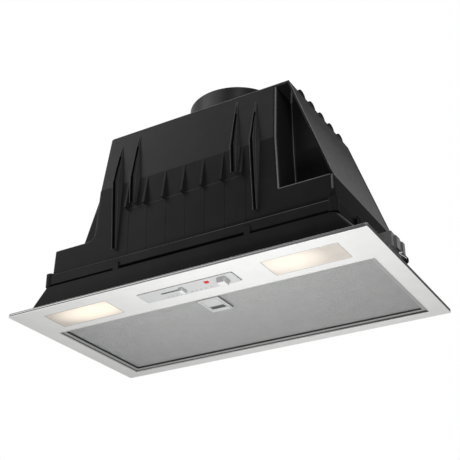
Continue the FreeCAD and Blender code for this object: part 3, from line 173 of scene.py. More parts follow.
def base_colour(material):
    """The socket of the base colour, and what feeds it."""
    socket = material.node_tree.nodes["Principled BSDF"].inputs["Base Color"]
    return socket, socket.links[0].from_socket


def levelness(tree):
    """1 on level faces and 0 on upright ones."""
    return calculate(tree, "ABSOLUTE", axes(tree, "Normal")["Z"])


def with_painted_side_shade(material, side_shade_colour):
    """Painted shade: another colour, a tuple or a node's output, on the upright faces."""
    tree = material.node_tree
    socket, face_colour = base_colour(material)
    link(tree, blend(tree, levelness(tree), side_shade_colour, face_colour), socket)
    return material


# Face panel

# rim colours: a painted highlight at the left end, painted shade at the right end, and the grooves' stripes
RIM_PAINTED_LIGHT, RIM_PAINTED_SHADE, RIM_GROOVE = grey(0.62), grey(0.04), grey(0.05)
RIM_GROOVES = 400.0  # grooves in a metre of the rim's height
PANEL_METAL = 0.3
RIM_IOR, PANEL_IOR = 1.1, 1.5


def panel_paint():
    """Pale metallic paint; the grooved rim isn't metallic, and its colour carries painted light, from a pale
    painted highlight at left to dark painted shade at right.
    """
    material = finish("panel_paint", (0.78, 0.78, 0.77), 0.02, (0.34, 0.42), FINE_GRAIN,
                      metallic=PANEL_METAL, ior=PANEL_IOR)
    tree = material.node_tree
    surface = tree.nodes["Principled BSDF"]
    low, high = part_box("face_panel")
    place = axes(tree, "Object")
    fade = blend(tree, map_range(tree, place["X"], (low.x, high.x)), RIM_PAINTED_LIGHT, RIM_PAINTED_SHADE)
    turn = calculate(tree, "FRACT", calculate(tree, "MULTIPLY", place["Z"], RIM_GROOVES))
    with_painted_side_shade(material, blend(tree, map_range(tree, turn, NOISE_SPAN), fade, RIM_GROOVE))
    level = levelness(tree)
    link(tree, calculate(tree, "MULTIPLY", level, PANEL_METAL), surface.inputs["Metallic"])
    link(tree, map_range(tree, level, (0.0, 1.0), (RIM_IOR, PANEL_IOR)), surface.inputs["IOR"])
    return material


# Moulded housing: places in metres, and shares of dullness from 0, its common gloss, to 1

HOUSING_IOR, DULL_IOR = 1.11, 1.04
CREASE = 170.4  # level where the front wall bends, in millimetres
SIDEWAYS = (0.9, 1.0)  # X of a normal, either way, on faces that look sideways, which are dull
FRONT_LIMIT = 0.5  # X of a normal, either way, is less than this on all faces but the sideways ones
WEDGE_FADE, WEDGE_SHARE = (0.170, 0.178), 0.15  # the wedges below the crease keep most of their gloss
SLANTED_LIMIT, CEILING_LIMIT = 0.2, -0.7  # Z of a normal on the slanted sides, and on a ceiling
SLANT_LEVELS, SLANT_SHARES = (0.095, 0.25), (-0.50, 0.75)
LOWER_SPAN, LOWER_SHARES = (-0.06, 0.21), (0.0, 0.8)
UPPER_SPAN, UPPER_SHARES = (-0.13, 0.05), (-0.60, 0.0)
# Z of a normal on faces that lean back a little, which are dull
LEANING = ((0.0, BLACK), (0.09, BLACK), (0.12, WHITE), (0.30, WHITE), (0.40, BLACK), (1.0, BLACK))
FLANK_LIMIT = 0.75  # X of a normal on the flanks of gussets and wedges
BLOCK_HALF = 0.143  # the flanks lie within this distance of the middle
FLANK_REACH = 0.2
WEDGE_FLANK_LIGHT, GUSSET_FLANK_LIGHT = (0.015, 0.015, 0.0155), (0.024, 0.024, 0.0245)
# painted light on the flanks: colours, each from its distance from the middle on
FLANK_LIGHT_STOPS = ((0.0, WEDGE_FLANK_LIGHT), (0.070, GUSSET_FLANK_LIGHT), (0.0875, WEDGE_FLANK_LIGHT), (0.098, GUSSET_FLANK_LIGHT),
          (0.120, WEDGE_FLANK_LIGHT), (FLANK_REACH, WEDGE_FLANK_LIGHT))


def dullness(tree):
    """How dull each face of the housing is; below 0 it is glossier than most."""
    normal, place = axes(tree, "Normal"), axes(tree, "Object")
    across = calculate(tree, "ABSOLUTE", normal["X"])
    front = calculate(tree, "LESS_THAN", across, FRONT_LIMIT)
    above_wedges = map_range(tree, place["Z"], WEDGE_FADE, (WEDGE_SHARE, 1.0))
    leaning = calculate(tree, "MULTIPLY", colour_ramp(tree, normal["Z"], LEANING), front)
    leaning = calculate(tree, "MULTIPLY", leaning, above_wedges)
    dull = calculate(tree, "MAXIMUM", map_range(tree, across, SIDEWAYS), leaning)
    # slanted sides, duller with height
    slanted = calculate(tree, "GREATER_THAN", normal["Z"], SLANTED_LIMIT)
    height = map_range(tree, place["Z"], SLANT_LEVELS, SLANT_SHARES)
    dull = calculate(tree, "MULTIPLY_ADD", slanted, height, dull)
    # front below the crease, duller towards the right
    below_crease = calculate(tree, "LESS_THAN", place["Z"], MM * CREASE)
    lower_front = calculate(tree, "MULTIPLY", below_crease, front)
    rightwards = map_range(tree, place["X"], LOWER_SPAN, LOWER_SHARES)
    dull = calculate(tree, "MULTIPLY_ADD", lower_front, rightwards, dull)
    # ceiling of the pocket
    ceiling = calculate(tree, "LESS_THAN", normal["Z"], CEILING_LIMIT)
    dull = calculate(tree, "MULTIPLY_ADD", ceiling, above_wedges, dull)
    # front above the crease, glossier towards the left
    upper_front = calculate(tree, "SUBTRACT", front, lower_front)
    leftwards = map_range(tree, place["X"], UPPER_SPAN, UPPER_SHARES)
    dull = calculate(tree, "MULTIPLY_ADD", upper_front, leftwards, dull)
    return calculate(tree, "MINIMUM", dull, 1.0)


def paint_flank_light(material):
    """Painted light: paler colours on the sideways faces near the middle, which are the flanks of the wedges
    and gussets.
    """
    tree = material.node_tree
    socket, plain_colour = base_colour(material)
    looking_aside = calculate(tree, "ABSOLUTE", axes(tree, "Normal")["X"])
    off_middle = calculate(tree, "ABSOLUTE", axes(tree, "Object")["X"])
    on_flank = calculate(tree, "MULTIPLY", calculate(tree, "GREATER_THAN", looking_aside, FLANK_LIMIT),
                         calculate(tree, "LESS_THAN", off_middle, BLOCK_HALF))
    stops = [(place / FLANK_REACH, colour) for place, colour in FLANK_LIGHT_STOPS]
    flank_light_colour = colour_ramp(tree, map_range(tree, off_middle, (0.0, FLANK_REACH)), stops, stepped=True)
    link(tree, blend(tree, on_flank, plain_colour, flank_light_colour), socket)


def housing_plastic():
    """Black moulded plastic, with painted light on the flanks of its wedges and gussets."""
    material = finish("housing_plastic", (0.0060, 0.0060, 0.0062), 0.12, (0.38, 0.42), MOULDED_GRAIN,
                      ior=HOUSING_IOR)
    tree = material.node_tree
    gloss = map_range(tree, dullness(tree), (0.0, 1.0), (HOUSING_IOR, DULL_IOR), clamp=False)
    link(tree, gloss, tree.nodes["Principled BSDF"].inputs["IOR"])
    paint_flank_light(material)
    return material


# Filter, control strip and knobs, with painted shade on their upright faces


def filter_aluminium():
    material = finish("filter_aluminium", (0.43, 0.435, 0.43), 0.02, (0.34, 0.42), FINE_GRAIN, metallic=0.5)
    # painted shade: the upright faces of the frame are darker
    return with_painted_side_shade(material, grey(0.05))


def control_plastic():
    material = finish("control_plastic", (0.47, 0.475, 0.475), 0.03, (0.36, 0.48), (2600.0, 0.00005, 0.3))
    # painted shade: the upright faces are darker
    return with_painted_side_shade(material, grey(0.20))


def knob_plastic():
    """Pale plastic; the sides carry painted shade, lighter where they look right."""
    material = finish("knob_plastic", grey(0.60), 0.03, (0.36, 0.48), FINE_GRAIN)
    tree = material.node_tree
    return with_painted_side_shade(material, blend(tree, axes(tree, "Normal")["X"], grey(0.16), grey(0.40)))


# Lamp lenses

# shift of the bright spot from the middle of the lens, its strength and its half width
LENS_SPOT = {"lamp_lens_left": (0.016, 1.06, 0.080), "lamp_lens_right": (-0.018, 0.75, 0.060)}
SPOT_FORWARD, SPOT_HALF_DEPTH = 0.004, 0.042
GLOW = ((0.0, (0.11, 0.08, 0.06)), (0.20, (0.15, 0.11, 0.085)), (0.48, (0.47, 0.40, 0.32)),
        (0.72, (0.57, 0.535, 0.42)), (1.0, (0.60, 0.58, 0.45)))


def glow_lens(name):
    """Frosted lens, brightest in front of its lamp."""
    shift, strength, half_width = LENS_SPOT[name]
    low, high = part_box(name)
    material = finish(name, (0.42, 0.40, 0.37), 0.05, (0.4, 0.55), (2200.0, 0.0001, 0.3))
    tree = material.node_tree
    surface = tree.nodes["Principled BSDF"]
    place = tree.nodes.new("ShaderNodeTexCoord")
    offset = tree.nodes.new("ShaderNodeMapping")
    offset.vector_type = "TEXTURE"
    offset.inputs["Location"].default_value = 0.5 * (low + high) + Vector((shift, -SPOT_FORWARD, 0.0))
    offset.inputs["Scale"].default_value = (half_width, SPOT_HALF_DEPTH, 1.0)
    link(tree, place.outputs["Object"], offset.inputs["Vector"])
    ball = tree.nodes.new("ShaderNodeTexGradient")
    ball.gradient_type = "SPHERICAL"
    link(tree, offset.outputs["Vector"], ball.inputs["Vector"])
    link(tree, colour_ramp(tree, ball.outputs["Fac"], GLOW), surface.inputs["Emission Color"])
    surface.inputs["Emission Strength"].default_value = strength
    return material


# Plain materials: colour, spread of its tone, roughness, grain and, for some, more inputs of finish

PLAIN_FINISHES = {
    "switch_plastic": ((0.03, 0.03, 0.031), 0.2, (0.4, 0.55), (1500.0, 0.0001, 0.3), {}),
    "pilot_red": ((0.50, 0.012, 0.010), 0.08, (0.15, 0.25), (900.0, 0.00004, 0.2), {}),
    "galvanised_steel": ((0.55, 0.57, 0.58), 0.12, (0.32, 0.55), (900.0, 0.00005, 0.3),
                         {"metallic": 0.9, "cloud": 140.0}),
    "socket_plastic": ((0.78, 0.75, 0.67), 0.06, (0.4, 0.55), (1500.0, 0.00006, 0.3), {}),
    "bulb_glass": ((0.90, 0.86, 0.78), 0.04, (0.2, 0.35), (1500.0, 0.00004, 0.2), {}),
    "wheel_plastic": ((0.10, 0.105, 0.105), 0.12, (0.4, 0.55), (1500.0, 0.00008, 0.3), {}),
    "motor_paint": ((0.12, 0.125, 0.13), 0.12, (0.4, 0.55), (1100.0, 0.0001, 0.35), {}),
    "bright_steel": ((0.70, 0.70, 0.71), 0.05, (0.18, 0.30), (1500.0, 0.00004, 0.25),
                     {"metallic": 0.95, "streak": (1.0, 0.1, 1.0)}),
    "mount_rubber": (grey(0.02), 0.25, (0.7, 0.85), (1300.0, 0.00015, 0.4), {}),
    # beads of painted highlight on the housing's edges
    "housing_edge_highlight": ((0.05, 0.05, 0.051), 0.1, (0.3, 0.4), MOULDED_GRAIN, {"ior": 1.3}),
    "housing_line_highlight": ((0.03, 0.03, 0.031), 0.1, (0.3, 0.4), MOULDED_GRAIN, {"ior": 1.2}),
    "collar_plastic": ((0.0035, 0.0035, 0.0037), 0.12, (0.36, 0.42), MOULDED_GRAIN, {"ior": 1.21}),
    "clip_plastic": ((0.11, 0.11, 0.111), 0.12, (0.3, 0.4), (1900.0, 0.00003, 0.2), {"ior": 1.3}),
    "mesh_layers": ((0.37, 0.375, 0.37), 0.04, (0.4, 0.5), (900.0, 0.00005, 0.1), {"metallic": 0.4}),
    "mesh_strand": ((0.38, 0.385, 0.38), 0.03, (0.40, 0.50), (2600.0, 0.00002, 0.1), {"metallic": 0.4}),
    "bezel_grey": ((0.40, 0.39, 0.37), 0.05, (0.35, 0.45), FINE_GRAIN, {}),
    "mark_ink": (grey(0.22), 0.1, (0.4, 0.5), FINE_GRAIN, {}),
    "deep_shade": (grey(0.10), 0.1, (0.6, 0.7), SOFT_GRAIN, {}),
    # black of painted shadow, for the seam and the gussets' slits
    "painted_shadow_black": (grey(0.0012), 0.2, (0.8, 0.9), MOULDED_GRAIN, {"ior": 1.02}),
    # grey of painted shadow in the gaps round the control strip and the filter opening
    "gap_shade": (grey(0.24), 0.1, (0.6, 0.7), SOFT_GRAIN, {}),
}


def make_materials():
    made = {make.__name__: make()
            for make in (panel_paint, housing_plastic, filter_aluminium, control_plastic, knob_plastic)}
    for name, (colour, spread, rough, grain, more) in PLAIN_FINISHES.items():
        made[name] = finish(name, colour, spread, rough, grain, **more)
    return made


MATERIALS = make_materials()


# Finish and edges of the carried-over nodes

# nodes whose finish isn't that of their slot
NODE_FINISH = {
    "clip_bracket_left": "clip_plastic", "clip_bracket_right": "clip_plastic", "filter_mesh": "mesh_layers",
    "outlet_collar": "collar_plastic", "speed_knob": "knob_plastic", "light_knob": "knob_plastic",
}
# edge rounding, in metres, of the nodes whose edges catch the light
ROUNDED = {
    "face_panel": 0.0004, "control_strip": 0.0004, "clip_bracket_left": 0.0005, "clip_bracket_right": 0.0005,
    "clip_lever_left": 0.0004, "clip_lever_right": 0.0004, "filter_frame": 0.0004,
    "latch_base": 0.0003, "latch_slider": 0.0003, "speed_knob": 0.0004, "light_knob": 0.0005,
}
WELD_DISTANCE, BEVEL_SEGMENTS = 0.00002, 2
FLAT_ANGLE, SHARP_ANGLE = math.radians(0.2), math.radians(35.0)


def round_edges(node, width):
    weld = node.modifiers.new("weld", "WELD")
    weld.merge_threshold = WELD_DISTANCE
    flat = node.modifiers.new("flat", "DECIMATE")
    flat.decimate_type = "DISSOLVE"
    flat.angle_limit = FLAT_ANGLE
    bevel = node.modifiers.new("bevel", "BEVEL")
    bevel.width = width
    bevel.segments = BEVEL_SEGMENTS
    bevel.limit_method = "ANGLE"
    bevel.angle_limit = SHARP_ANGLE
    bevel.use_clamp_overlap = False
    bevel.harden_normals = True


def dress_nodes():
    """Finish every carried-over node, with softened edges on the sheet and moulded pieces."""
    for row in frame["record"]["subparts"]:
        name = row["node"]
        node = nodes[name]
        node.data.materials.clear()
        if name in LENS_SPOT:
            node.data.materials.append(glow_lens(name))
        else:
            node.data.materials.append(MATERIALS[NODE_FINISH.get(name, row["material_slot"])])
        if name in ROUNDED:
            round_edges(node, ROUNDED[name])


dress_nodes()


# Shapes for the pieces that ride on the carried-over bodies; sizes are in metres

CORNER_POINTS = 5
ROD_SIDES, BEAD_SIDES = 8, 6
THICK_BEAD = 1.0  # from this radius on, in millimetres, a bead has a rod's sides
CHAMFER = 0.85  # width of a bar's lower face, as a share of the bar's


def add_piece(name, parts, material, body):
    """One mesh object from a list of (vertices, faces) parts."""
    vertices, faces = [], []
    for points, sides in parts:
        first = len(vertices)
        vertices += points
        faces += [tuple(first + i for i in side) for side in sides]
    mesh = bpy.data.meshes.new(name)
    mesh.from_pydata(vertices, [], faces)
    mesh.materials.append(MATERIALS[material])
    piece = bpy.data.objects.new(name, mesh)
    bpy.context.scene.collection.objects.link(piece)
    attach(piece, body)


def rounded_rectangle(left, right, front, rear, radius):
    points = []
    corners = ((right, rear, 0.0), (left, rear, 90.0), (left, front, 180.0), (right, front, 270.0))
    for x, y, start in corners:
        middle_x = x - math.copysign(radius, x - 0.5 * (left + right))
        middle_y = y - math.copysign(radius, y - 0.5 * (front + rear))
        for i in range(CORNER_POINTS):
            angle = math.radians(start + 90.0 * i / (CORNER_POINTS - 1))
            points.append((middle_x + radius * math.cos(angle), middle_y + radius * math.sin(angle)))
    return points


def moulding(left, right, front, rear, radius, base, profile):
    """Profile of (outset, height above the base) points swept round a rounded rectangle."""
    loops = [rounded_rectangle(left - out, right + out, front - out, rear + out, radius + out)
             for out, _ in profile]
    count, levels = len(loops[0]), len(profile)
    vertices = [(x, y, base + height) for loop, (_, height) in zip(loops, profile) for x, y in loop]
    faces = []
    for i in range(levels):
        low, high = i * count, (i + 1) % levels * count
        faces += [(low + j, low + (j + 1) % count, high + (j + 1) % count, high + j) for j in range(count)]
    return vertices, faces


def bar(start, end, width, low, high):
    """Flat strip from start to end, with its lower edges chamfered."""
    along = (Vector(end) - Vector(start)).normalized()
    across = Vector((-along.y, along.x)) * 0.5 * width
    inner = CHAMFER * across
    middle = 0.5 * (low + high)
    ring = [(-across, high), (across, high), (across, middle), (inner, low), (-inner, low), (-across, middle)]
    count = len(ring)
    vertices = [(p[0] + side.x, p[1] + side.y, z) for p in (start, end) for side, z in ring]
    faces = [(i, (i + 1) % count, count + (i + 1) % count, count + i) for i in range(count)]
    return vertices, faces + [tuple(range(count - 1, -1, -1)), tuple(range(count, 2 * count))]


def rod(points, radius, sides=ROD_SIDES):
    """Round rod through the points."""
    vertices, faces = [], []
    points = [Vector(p) for p in points]
    for i, point in enumerate(points):
        along = (points[min(i + 1, len(points) - 1)] - points[max(i - 1, 0)]).normalized()
        if i == 0:
            across = along.orthogonal().normalized()
        else:
            across = (across - along * across.dot(along)).normalized()
        up = along.cross(across)
        for j in range(sides):
            angle = 2.0 * math.pi * j / sides
            vertices.append(tuple(point + radius * (math.cos(angle) * across + math.sin(angle) * up)))
    for i in range(len(points) - 1):
        for j in range(sides):
            k = (j + 1) % sides
            faces.append((i * sides + j, i * sides + k, (i + 1) * sides + k, (i + 1) * sides + j))
    last = (len(points) - 1) * sides
    return vertices, faces + [tuple(range(sides - 1, -1, -1)), tuple(last + j for j in range(sides))]


def bead(radius, *points):
    """Rod whose radius and points are in millimetres."""
    sides = ROD_SIDES if radius >= THICK_BEAD else BEAD_SIDES
    return rod([tuple(MM * c for c in point) for point in points], MM * radius, sides)


# Lattice of the filter

STRAND_PITCH, STRAND_WIDTH, STRAND_THICK = 0.0024, 0.00085, 0.0002
STRAND_SLOPE = 0.62
SHORTEST_STRAND = 0.002
LATTICE_INSET, LATCH_ROOM = 0.0025, 0.0003
FAR_AWAY = 10.0


def grown(node, margin):
    """Plan of a node's box, as its X range and Y range, with a margin all round."""
    low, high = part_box(node)
    return (low.x - margin, high.x + margin), (low.y - margin, high.y + margin)


def clipped(point, direction, plan):
    """Stretch of a line inside a rectangle, as two distances along it."""
    near, far = -FAR_AWAY, FAR_AWAY
    for axis in (0, 1):
        ends = sorted((plan[axis][side] - point[axis]) / direction[axis] for side in (0, 1))
        near, far = max(near, ends[0]), min(far, ends[1])
    return near, far


def add_filter_lattice():
    """Two crossing layers of slanted strands below the filter mesh, open round the latch."""
    field = grown("filter_mesh", -LATTICE_INSET)
    latch = grown("latch_base", LATCH_ROOM)
    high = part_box("filter_mesh")[0].z
    strands = []
    for lean in (1.0, -1.0):
        low = high - STRAND_THICK
        direction = Vector((1.0, STRAND_SLOPE * lean)).normalized()
        normal = Vector((-direction.y, direction.x))
        reach = max(abs(normal.dot(Vector((x, y)))) for x in field[0] for y in field[1])
        count = math.ceil(reach / STRAND_PITCH)
        for i in range(-count, count + 1):
            point = normal * (i * STRAND_PITCH * lean)
            near, far = clipped(point, direction, field)
            spans = [(near, far)]
            enter, leave = clipped(point, direction, latch)
            if enter < leave:
                spans = [(near, min(far, enter)), (max(near, leave), far)]
            for begin, end in spans:
                if end - begin > SHORTEST_STRAND:
                    start, stop = point + begin * direction, point + end * direction
                    strands.append(bar(start, stop, STRAND_WIDTH, low, high))
        high = low
    add_piece("filter_lattice", strands, "mesh_strand", "filter")


# Trim of the face panel: profiles are (outset, height above the panel's face), and the face looks down

BEZEL = [(-0.0005, 0.0001), (-0.0004, -0.00025), (0.0001, -0.0004), (0.0006, -0.00025), (0.0007, 0.0001)]
LIP = [(0.00005, 0.0001), (0.0002, -0.0003), (0.0008, -0.0005), (0.0014, -0.0003), (0.0016, 0.0001)]
# ring of painted shadow in the gap round the control strip
SHADOW_GAP_PROFILE = [(-0.0002, 0.0001), (-0.0002, -0.0002), (0.0002, -0.0003), (0.0005, -0.0002), (0.0005, 0.0001)]
LENS_HOLD = 0.002  # each end of a lens is hidden by this much
WINDOW_CORNER, OPENING_CORNER = 0.002, 0.001
OPENING_ROOM = 0.0044  # the filter opening is larger than the filter mesh by this much, all round
SHADE_OUTSET, SHADE_INSET, SHADE_DROP, SHADE_RADIUS = 0.0003, 0.001, 0.0004, 0.0004
# marks by the knobs: their places along the strip, and their sizes
MARK_PLACES = (-0.0349, -0.0279, -0.0210, 0.0011, 0.0073, 0.0147, 0.0218, 0.0296)
MARK_INSET, MARK_HALF, MARK_WIDTH, MARK_PROUD, MARK_SUNK = 0.0046, 0.0016, 0.0012, 0.00015, 0.0001


def add_face_trim():
    """Lens bezels, lip round the filter opening, painted shadow along its right edge and round the control
    strip, and the strip's marks.
    """
    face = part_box("face_panel")[0].z
    for side, node in (("left", "lamp_lens_left"), ("right", "lamp_lens_right")):
        low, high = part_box(node)
        bezel = moulding(low.x + LENS_HOLD, high.x - LENS_HOLD, low.y, high.y, WINDOW_CORNER, face, BEZEL)
        add_piece("lens_bezel_" + side, [bezel], "bezel_grey", "hood")
    (left, right), (front, rear) = grown("filter_mesh", OPENING_ROOM)
    lip = moulding(left, right, front, rear, OPENING_CORNER, face, LIP)
    add_piece("opening_lip", [lip], "panel_paint", "hood")
    shade_ends = [(right + SHADE_OUTSET, y, face - SHADE_DROP)
                  for y in (front + SHADE_INSET, rear - SHADE_INSET)]
    shade = rod(shade_ends, SHADE_RADIUS, BEAD_SIDES)
    add_piece("opening_shade", [shade], "gap_shade", "hood")
    low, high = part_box("control_strip")
    gap_shade_ring = moulding(low.x, high.x, low.y, high.y, WINDOW_CORNER, face, SHADOW_GAP_PROFILE)
    add_piece("strip_gap_shade", [gap_shade_ring], "gap_shade", "hood")
    row, bottom, top = high.y - MARK_INSET, low.z - MARK_PROUD, low.z + MARK_SUNK
    marks = [bar((x - MARK_HALF, row), (x + MARK_HALF, row), MARK_WIDTH, bottom, top) for x in MARK_PLACES]
    add_piece("strip_marks", marks, "mark_ink", "hood")


# Finger pull of the latch: a recess lined with painted shade, measured from the slider's rear edge and lower
# face

PULL_HALF, PULL_FRONT, PULL_REAR, PULL_CORNER = 0.0103, 0.0076, 0.0014, 0.0010
LINER_WALL, LINER_CORNER = 0.0007, 0.0006
LINER_MOUTH, LINER_ROOF, LINER_TOP = 0.0003, 0.0046, 0.0053
LIP_SET, LIP_WIDTH, LIP_PROUD, LIP_SUNK = 0.0087, 0.0034, 0.0003, 0.0002
STRAP_HALF, STRAP_SET, STRAP_WIDTH, STRAP_LOW, STRAP_HIGH = 0.0140, 0.0026, 0.0072, 0.0006, 0.0002


def add_pull_painted_shade():
    """Painted shade lining the finger pull in the latch slider, and the strap behind it."""
    low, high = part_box("latch_slider")
    front, rear = high.y - PULL_FRONT, high.y - PULL_REAR
    outer = rounded_rectangle(-PULL_HALF, PULL_HALF, front, rear, PULL_CORNER)
    inner = rounded_rectangle(LINER_WALL - PULL_HALF, PULL_HALF - LINER_WALL, front + LINER_WALL,
                              rear - LINER_WALL, LINER_CORNER)
    rings = ((outer, LINER_TOP), (outer, LINER_MOUTH), (inner, LINER_MOUTH), (inner, LINER_ROOF))
    count = len(outer)
    last = (len(rings) - 1) * count
    vertices = [(x, y, low.z + height) for ring, height in rings for x, y in ring]
    faces = [tuple(range(count)), tuple(range(last + count - 1, last - 1, -1))]
    for first in range(0, last, count):
        for i in range(count):
            j = (i + 1) % count
            faces.append((first + j, first + i, first + count + i, first + count + j))
    row = high.y - LIP_SET
    lip = bar((-PULL_HALF, row), (PULL_HALF, row), LIP_WIDTH, low.z - LIP_PROUD, low.z + LIP_SUNK)
    add_piece("pull_painted_shade", [(vertices, faces), lip], "deep_shade", "latch")
    row = high.y + STRAP_SET
    strap = bar((-STRAP_HALF, row), (STRAP_HALF, row), STRAP_WIDTH, low.z - STRAP_LOW, low.z - STRAP_HIGH)
    add_piece("latch_strap", [strap], "control_plastic", "filter")


# Side clips

WIRE_RADIUS = 0.6
# bends of the right-hand wire, in millimetres
WIRE_PATH = ((252.2, -15.5, 19.0), (256.2, -16.0, 18.8), (256.4, -27.5, 12.8), (256.6, -30.0, 11.9),
             (256.6, -27.0, 12.0), (256.6, -4.0, 16.2), (256.2, -1.5, 16.7), (252.2, -1.2, 16.7))


def add_clip_wires():
    """Bent spring wire on the outer face of each side clip."""
    for side, sign in (("left", -1.0), ("right", 1.0)):
        path = [(MM * sign * x, MM * y, MM * z) for x, y, z in WIRE_PATH]
        add_piece("clip_wire_" + side, [rod(path, MM * WIRE_RADIUS)], "bright_steel", "hood")


# Lines of the moulded housing, in millimetres, for its beads of painted highlight and painted shadow

rear_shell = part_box("housing_rear")[1] / MM  # rear right corner of the shell's box
TOP, LEDGE, BAND_TOP = 255.0, 92.7, 53.0
TOP_HALF, LEDGE_HALF, BAND_HALF, BAND_CORNER = 157.0, 213.2, rear_shell.x, 5.0
TOP_FRONT, WALL_FRONT, SPLIT = -112.0, -118.0, -65.0
REAR, BAND_REAR = 78.0, rear_shell.y
# painted highlights on the edges, as bright beads: radius, then points
CORNER_HIGHLIGHTS = (
    # front of the top
    (0.6, (-126.5, TOP_FRONT, TOP), (TOP_HALF, TOP_FRONT, TOP)),
    # left front corner of the pocket
    (1.3, (136.9, -110.5, 254.5), (137.2, -116.5, CREASE), (139.5, -116.5, 92.0)),
    # front of the ledge below the pocket
    (0.8, (139.5, -117.6, 92.4), (210.0, -117.6, 92.4)),
    # front of the slanted right side
    (0.5, (TOP_HALF, TOP_FRONT, TOP), (LEDGE_HALF, TOP_FRONT, LEDGE)),
)
# fainter painted highlights on the front edges
FRONT_HIGHLIGHTS = (
    # top of the band
    (0.5, (-208.9, -124.6, BAND_TOP), (208.9, -124.6, BAND_TOP)),
    # right front corner of the step
    (1.5, (211.9, -116.6, 92.2), (211.9, -116.6, 72.0)),
    # left corner of the block, round its foot and along the ledge
    (0.6, (-139.2, -116.5, CREASE), (-143.6, -116.5, 106.0), (-145.2, -116.7, 99.0), (-149.0, -117.2, 94.6),
     (-156.0, -117.6, 92.8), (-209.0, -117.6, 92.6)),
)
REAR_LINE, SIDE_LINE = 0.6, 0.5
REAR_TOP_LINE = (REAR_LINE, (-TOP_HALF, REAR, TOP), (TOP_HALF, REAR, TOP))
# painted highlight along the feet of the wedges
APRON_LINE = (0.3, (-94.0, -118.2, 127.0), (94.0, -118.2, 127.0))
# painted highlights on the corner of the pocket and along its ceiling
POCKET_HIGHLIGHTS = (
    (1.3, (138.7, -68.6, 251.0), (139.0, -68.6, CREASE), (141.2, -68.6, 93.0)),
    (1.3, (138.7, -68.6, 251.2), (154.5, -98.5, 251.2)),
)
# painted shadow in the seam above the lower body, broken by the middle stretch
SEAM_RADIUS, SEAM_FRONT, SEAM_LEVEL, SEAM_ENDS = 1.5, -125.2, 37.2, ((-208.0, -96.0), (96.0, 208.0))
# gussets: place across, then Y and Z of the front edge at its foot, bend and top
LONG_EDGE = ((-122.0, 70.0), (-129.0, CREASE), (-113.3, 237.0))
SHORT_EDGE = ((-126.5, 131.0), (-128.0, CREASE), (-112.5, 248.0))
RIGHTMOST = 108.0
GUSSETS = ((-RIGHTMOST, LONG_EDGE), (-79.0, SHORT_EDGE), (79.0, SHORT_EDGE), (RIGHTMOST, LONG_EDGE))
GUSSET_LINE = 0.4
EDGE_HALVES = (2.4, 2.7, 0.6)  # half the front edge's width at its foot, bend and top
FLANK_PLACES = (2.6, 4.5, 0.6)  # line on the right-hand flank, from the gusset's middle
FLANK_DEPTH = 0.35  # how far that line lies behind the edge, as a share of the gusset's depth
# dark rods of painted shadow in the slits of the gussets
SLIT_PLACE, SLIT_TOP_PLACE, SLIT_SINK, SLIT_LIFT = 0.6, 0.3, 0.3, 1.0
SLIT_RADIUS, SLIT_TOP_RADIUS = 1.9, 1.5
SLIT_SHARE = 0.7  # the slit ends this far up from the bend to the top


def gusset_highlight_lines(across, edge):
    """Painted highlights along a gusset's edge and flank; both sides of its edge show on the rightmost one.
    """
    foot, bend, top = edge
    lines = []
    for side in (-1.0, 1.0):
        if side < 0.0 or across == RIGHTMOST:
            lines.append(bead(GUSSET_LINE, *((across + side * half, *point)
                                             for half, point in zip(EDGE_HALVES, edge))))
    behind = [((1.0 - FLANK_DEPTH) * y + FLANK_DEPTH * WALL_FRONT, z) for y, z in (foot, bend)]
    lines.append(bead(GUSSET_LINE, *((across + place, *point)
                                     for place, point in zip(FLANK_PLACES, (*behind, top)))))
    return lines


def gusset_slit_shadow(across, edge):
    """Painted shadow in the slit of a gusset, in a lower and a thinner upper stretch."""
    foot, bend, top = edge
    end = [(1.0 - SLIT_SHARE) * a + SLIT_SHARE * b for a, b in zip(bend, top)]
    turn = (across + SLIT_PLACE, bend[0] + SLIT_SINK, bend[1])
    return [bead(SLIT_RADIUS, (across + SLIT_PLACE, foot[0] + SLIT_SINK, foot[1] + SLIT_LIFT), turn),
            bead(SLIT_TOP_RADIUS, turn, (across + SLIT_TOP_PLACE, end[0] + SLIT_SINK, end[1]))]


def side_highlight_lines(side):
    """Painted highlights on the rear edge, band and top edge of one slanted side."""
    top, ledge, band = side * TOP_HALF, side * LEDGE_HALF, side * BAND_HALF
    round_band = ((band, SPLIT, BAND_TOP), (band, BAND_REAR - BAND_CORNER, BAND_TOP),
                  (band - side * BAND_CORNER, BAND_REAR, BAND_TOP), (0.0, BAND_REAR, BAND_TOP))
    return [bead(REAR_LINE, (top, REAR, TOP), (ledge, REAR, LEDGE)),
            bead(SIDE_LINE, *round_band),
            bead(SIDE_LINE, (top, SPLIT, TOP), (top, REAR, TOP))]


def add_edge_highlights():
    """Pale beads of painted highlight along the edges of the moulded housing, and black beads of painted
    shadow along its seam and the slits of its gussets.
    """
    soft = [bead(*line) for line in FRONT_HIGHLIGHTS]
    slits = []
    for across, edge in GUSSETS:
        soft += gusset_highlight_lines(across, edge)
        slits += gusset_slit_shadow(across, edge)
    soft += [bead(*REAR_TOP_LINE), bead(*APRON_LINE)]
    for side in (-1.0, 1.0):
        soft += side_highlight_lines(side)
    pocket = [bead(*line) for line in POCKET_HIGHLIGHTS]
    add_piece("pocket_highlight_bead", pocket, "housing_edge_highlight", "hood")
    strong = [bead(*line) for line in CORNER_HIGHLIGHTS]
    add_piece("housing_corner_highlight_beads", strong, "housing_edge_highlight", "hood")
    add_piece("housing_line_highlight_beads", soft, "housing_line_highlight", "hood")
    seams = [bead(SEAM_RADIUS, *((x, SEAM_FRONT, SEAM_LEVEL) for x in ends)) for ends in SEAM_ENDS]
    add_piece("seam_shadow_cords", seams, "painted_shadow_black", "hood")
    add_piece("gusset_slit_shadows", slits, "painted_shadow_black", "hood")


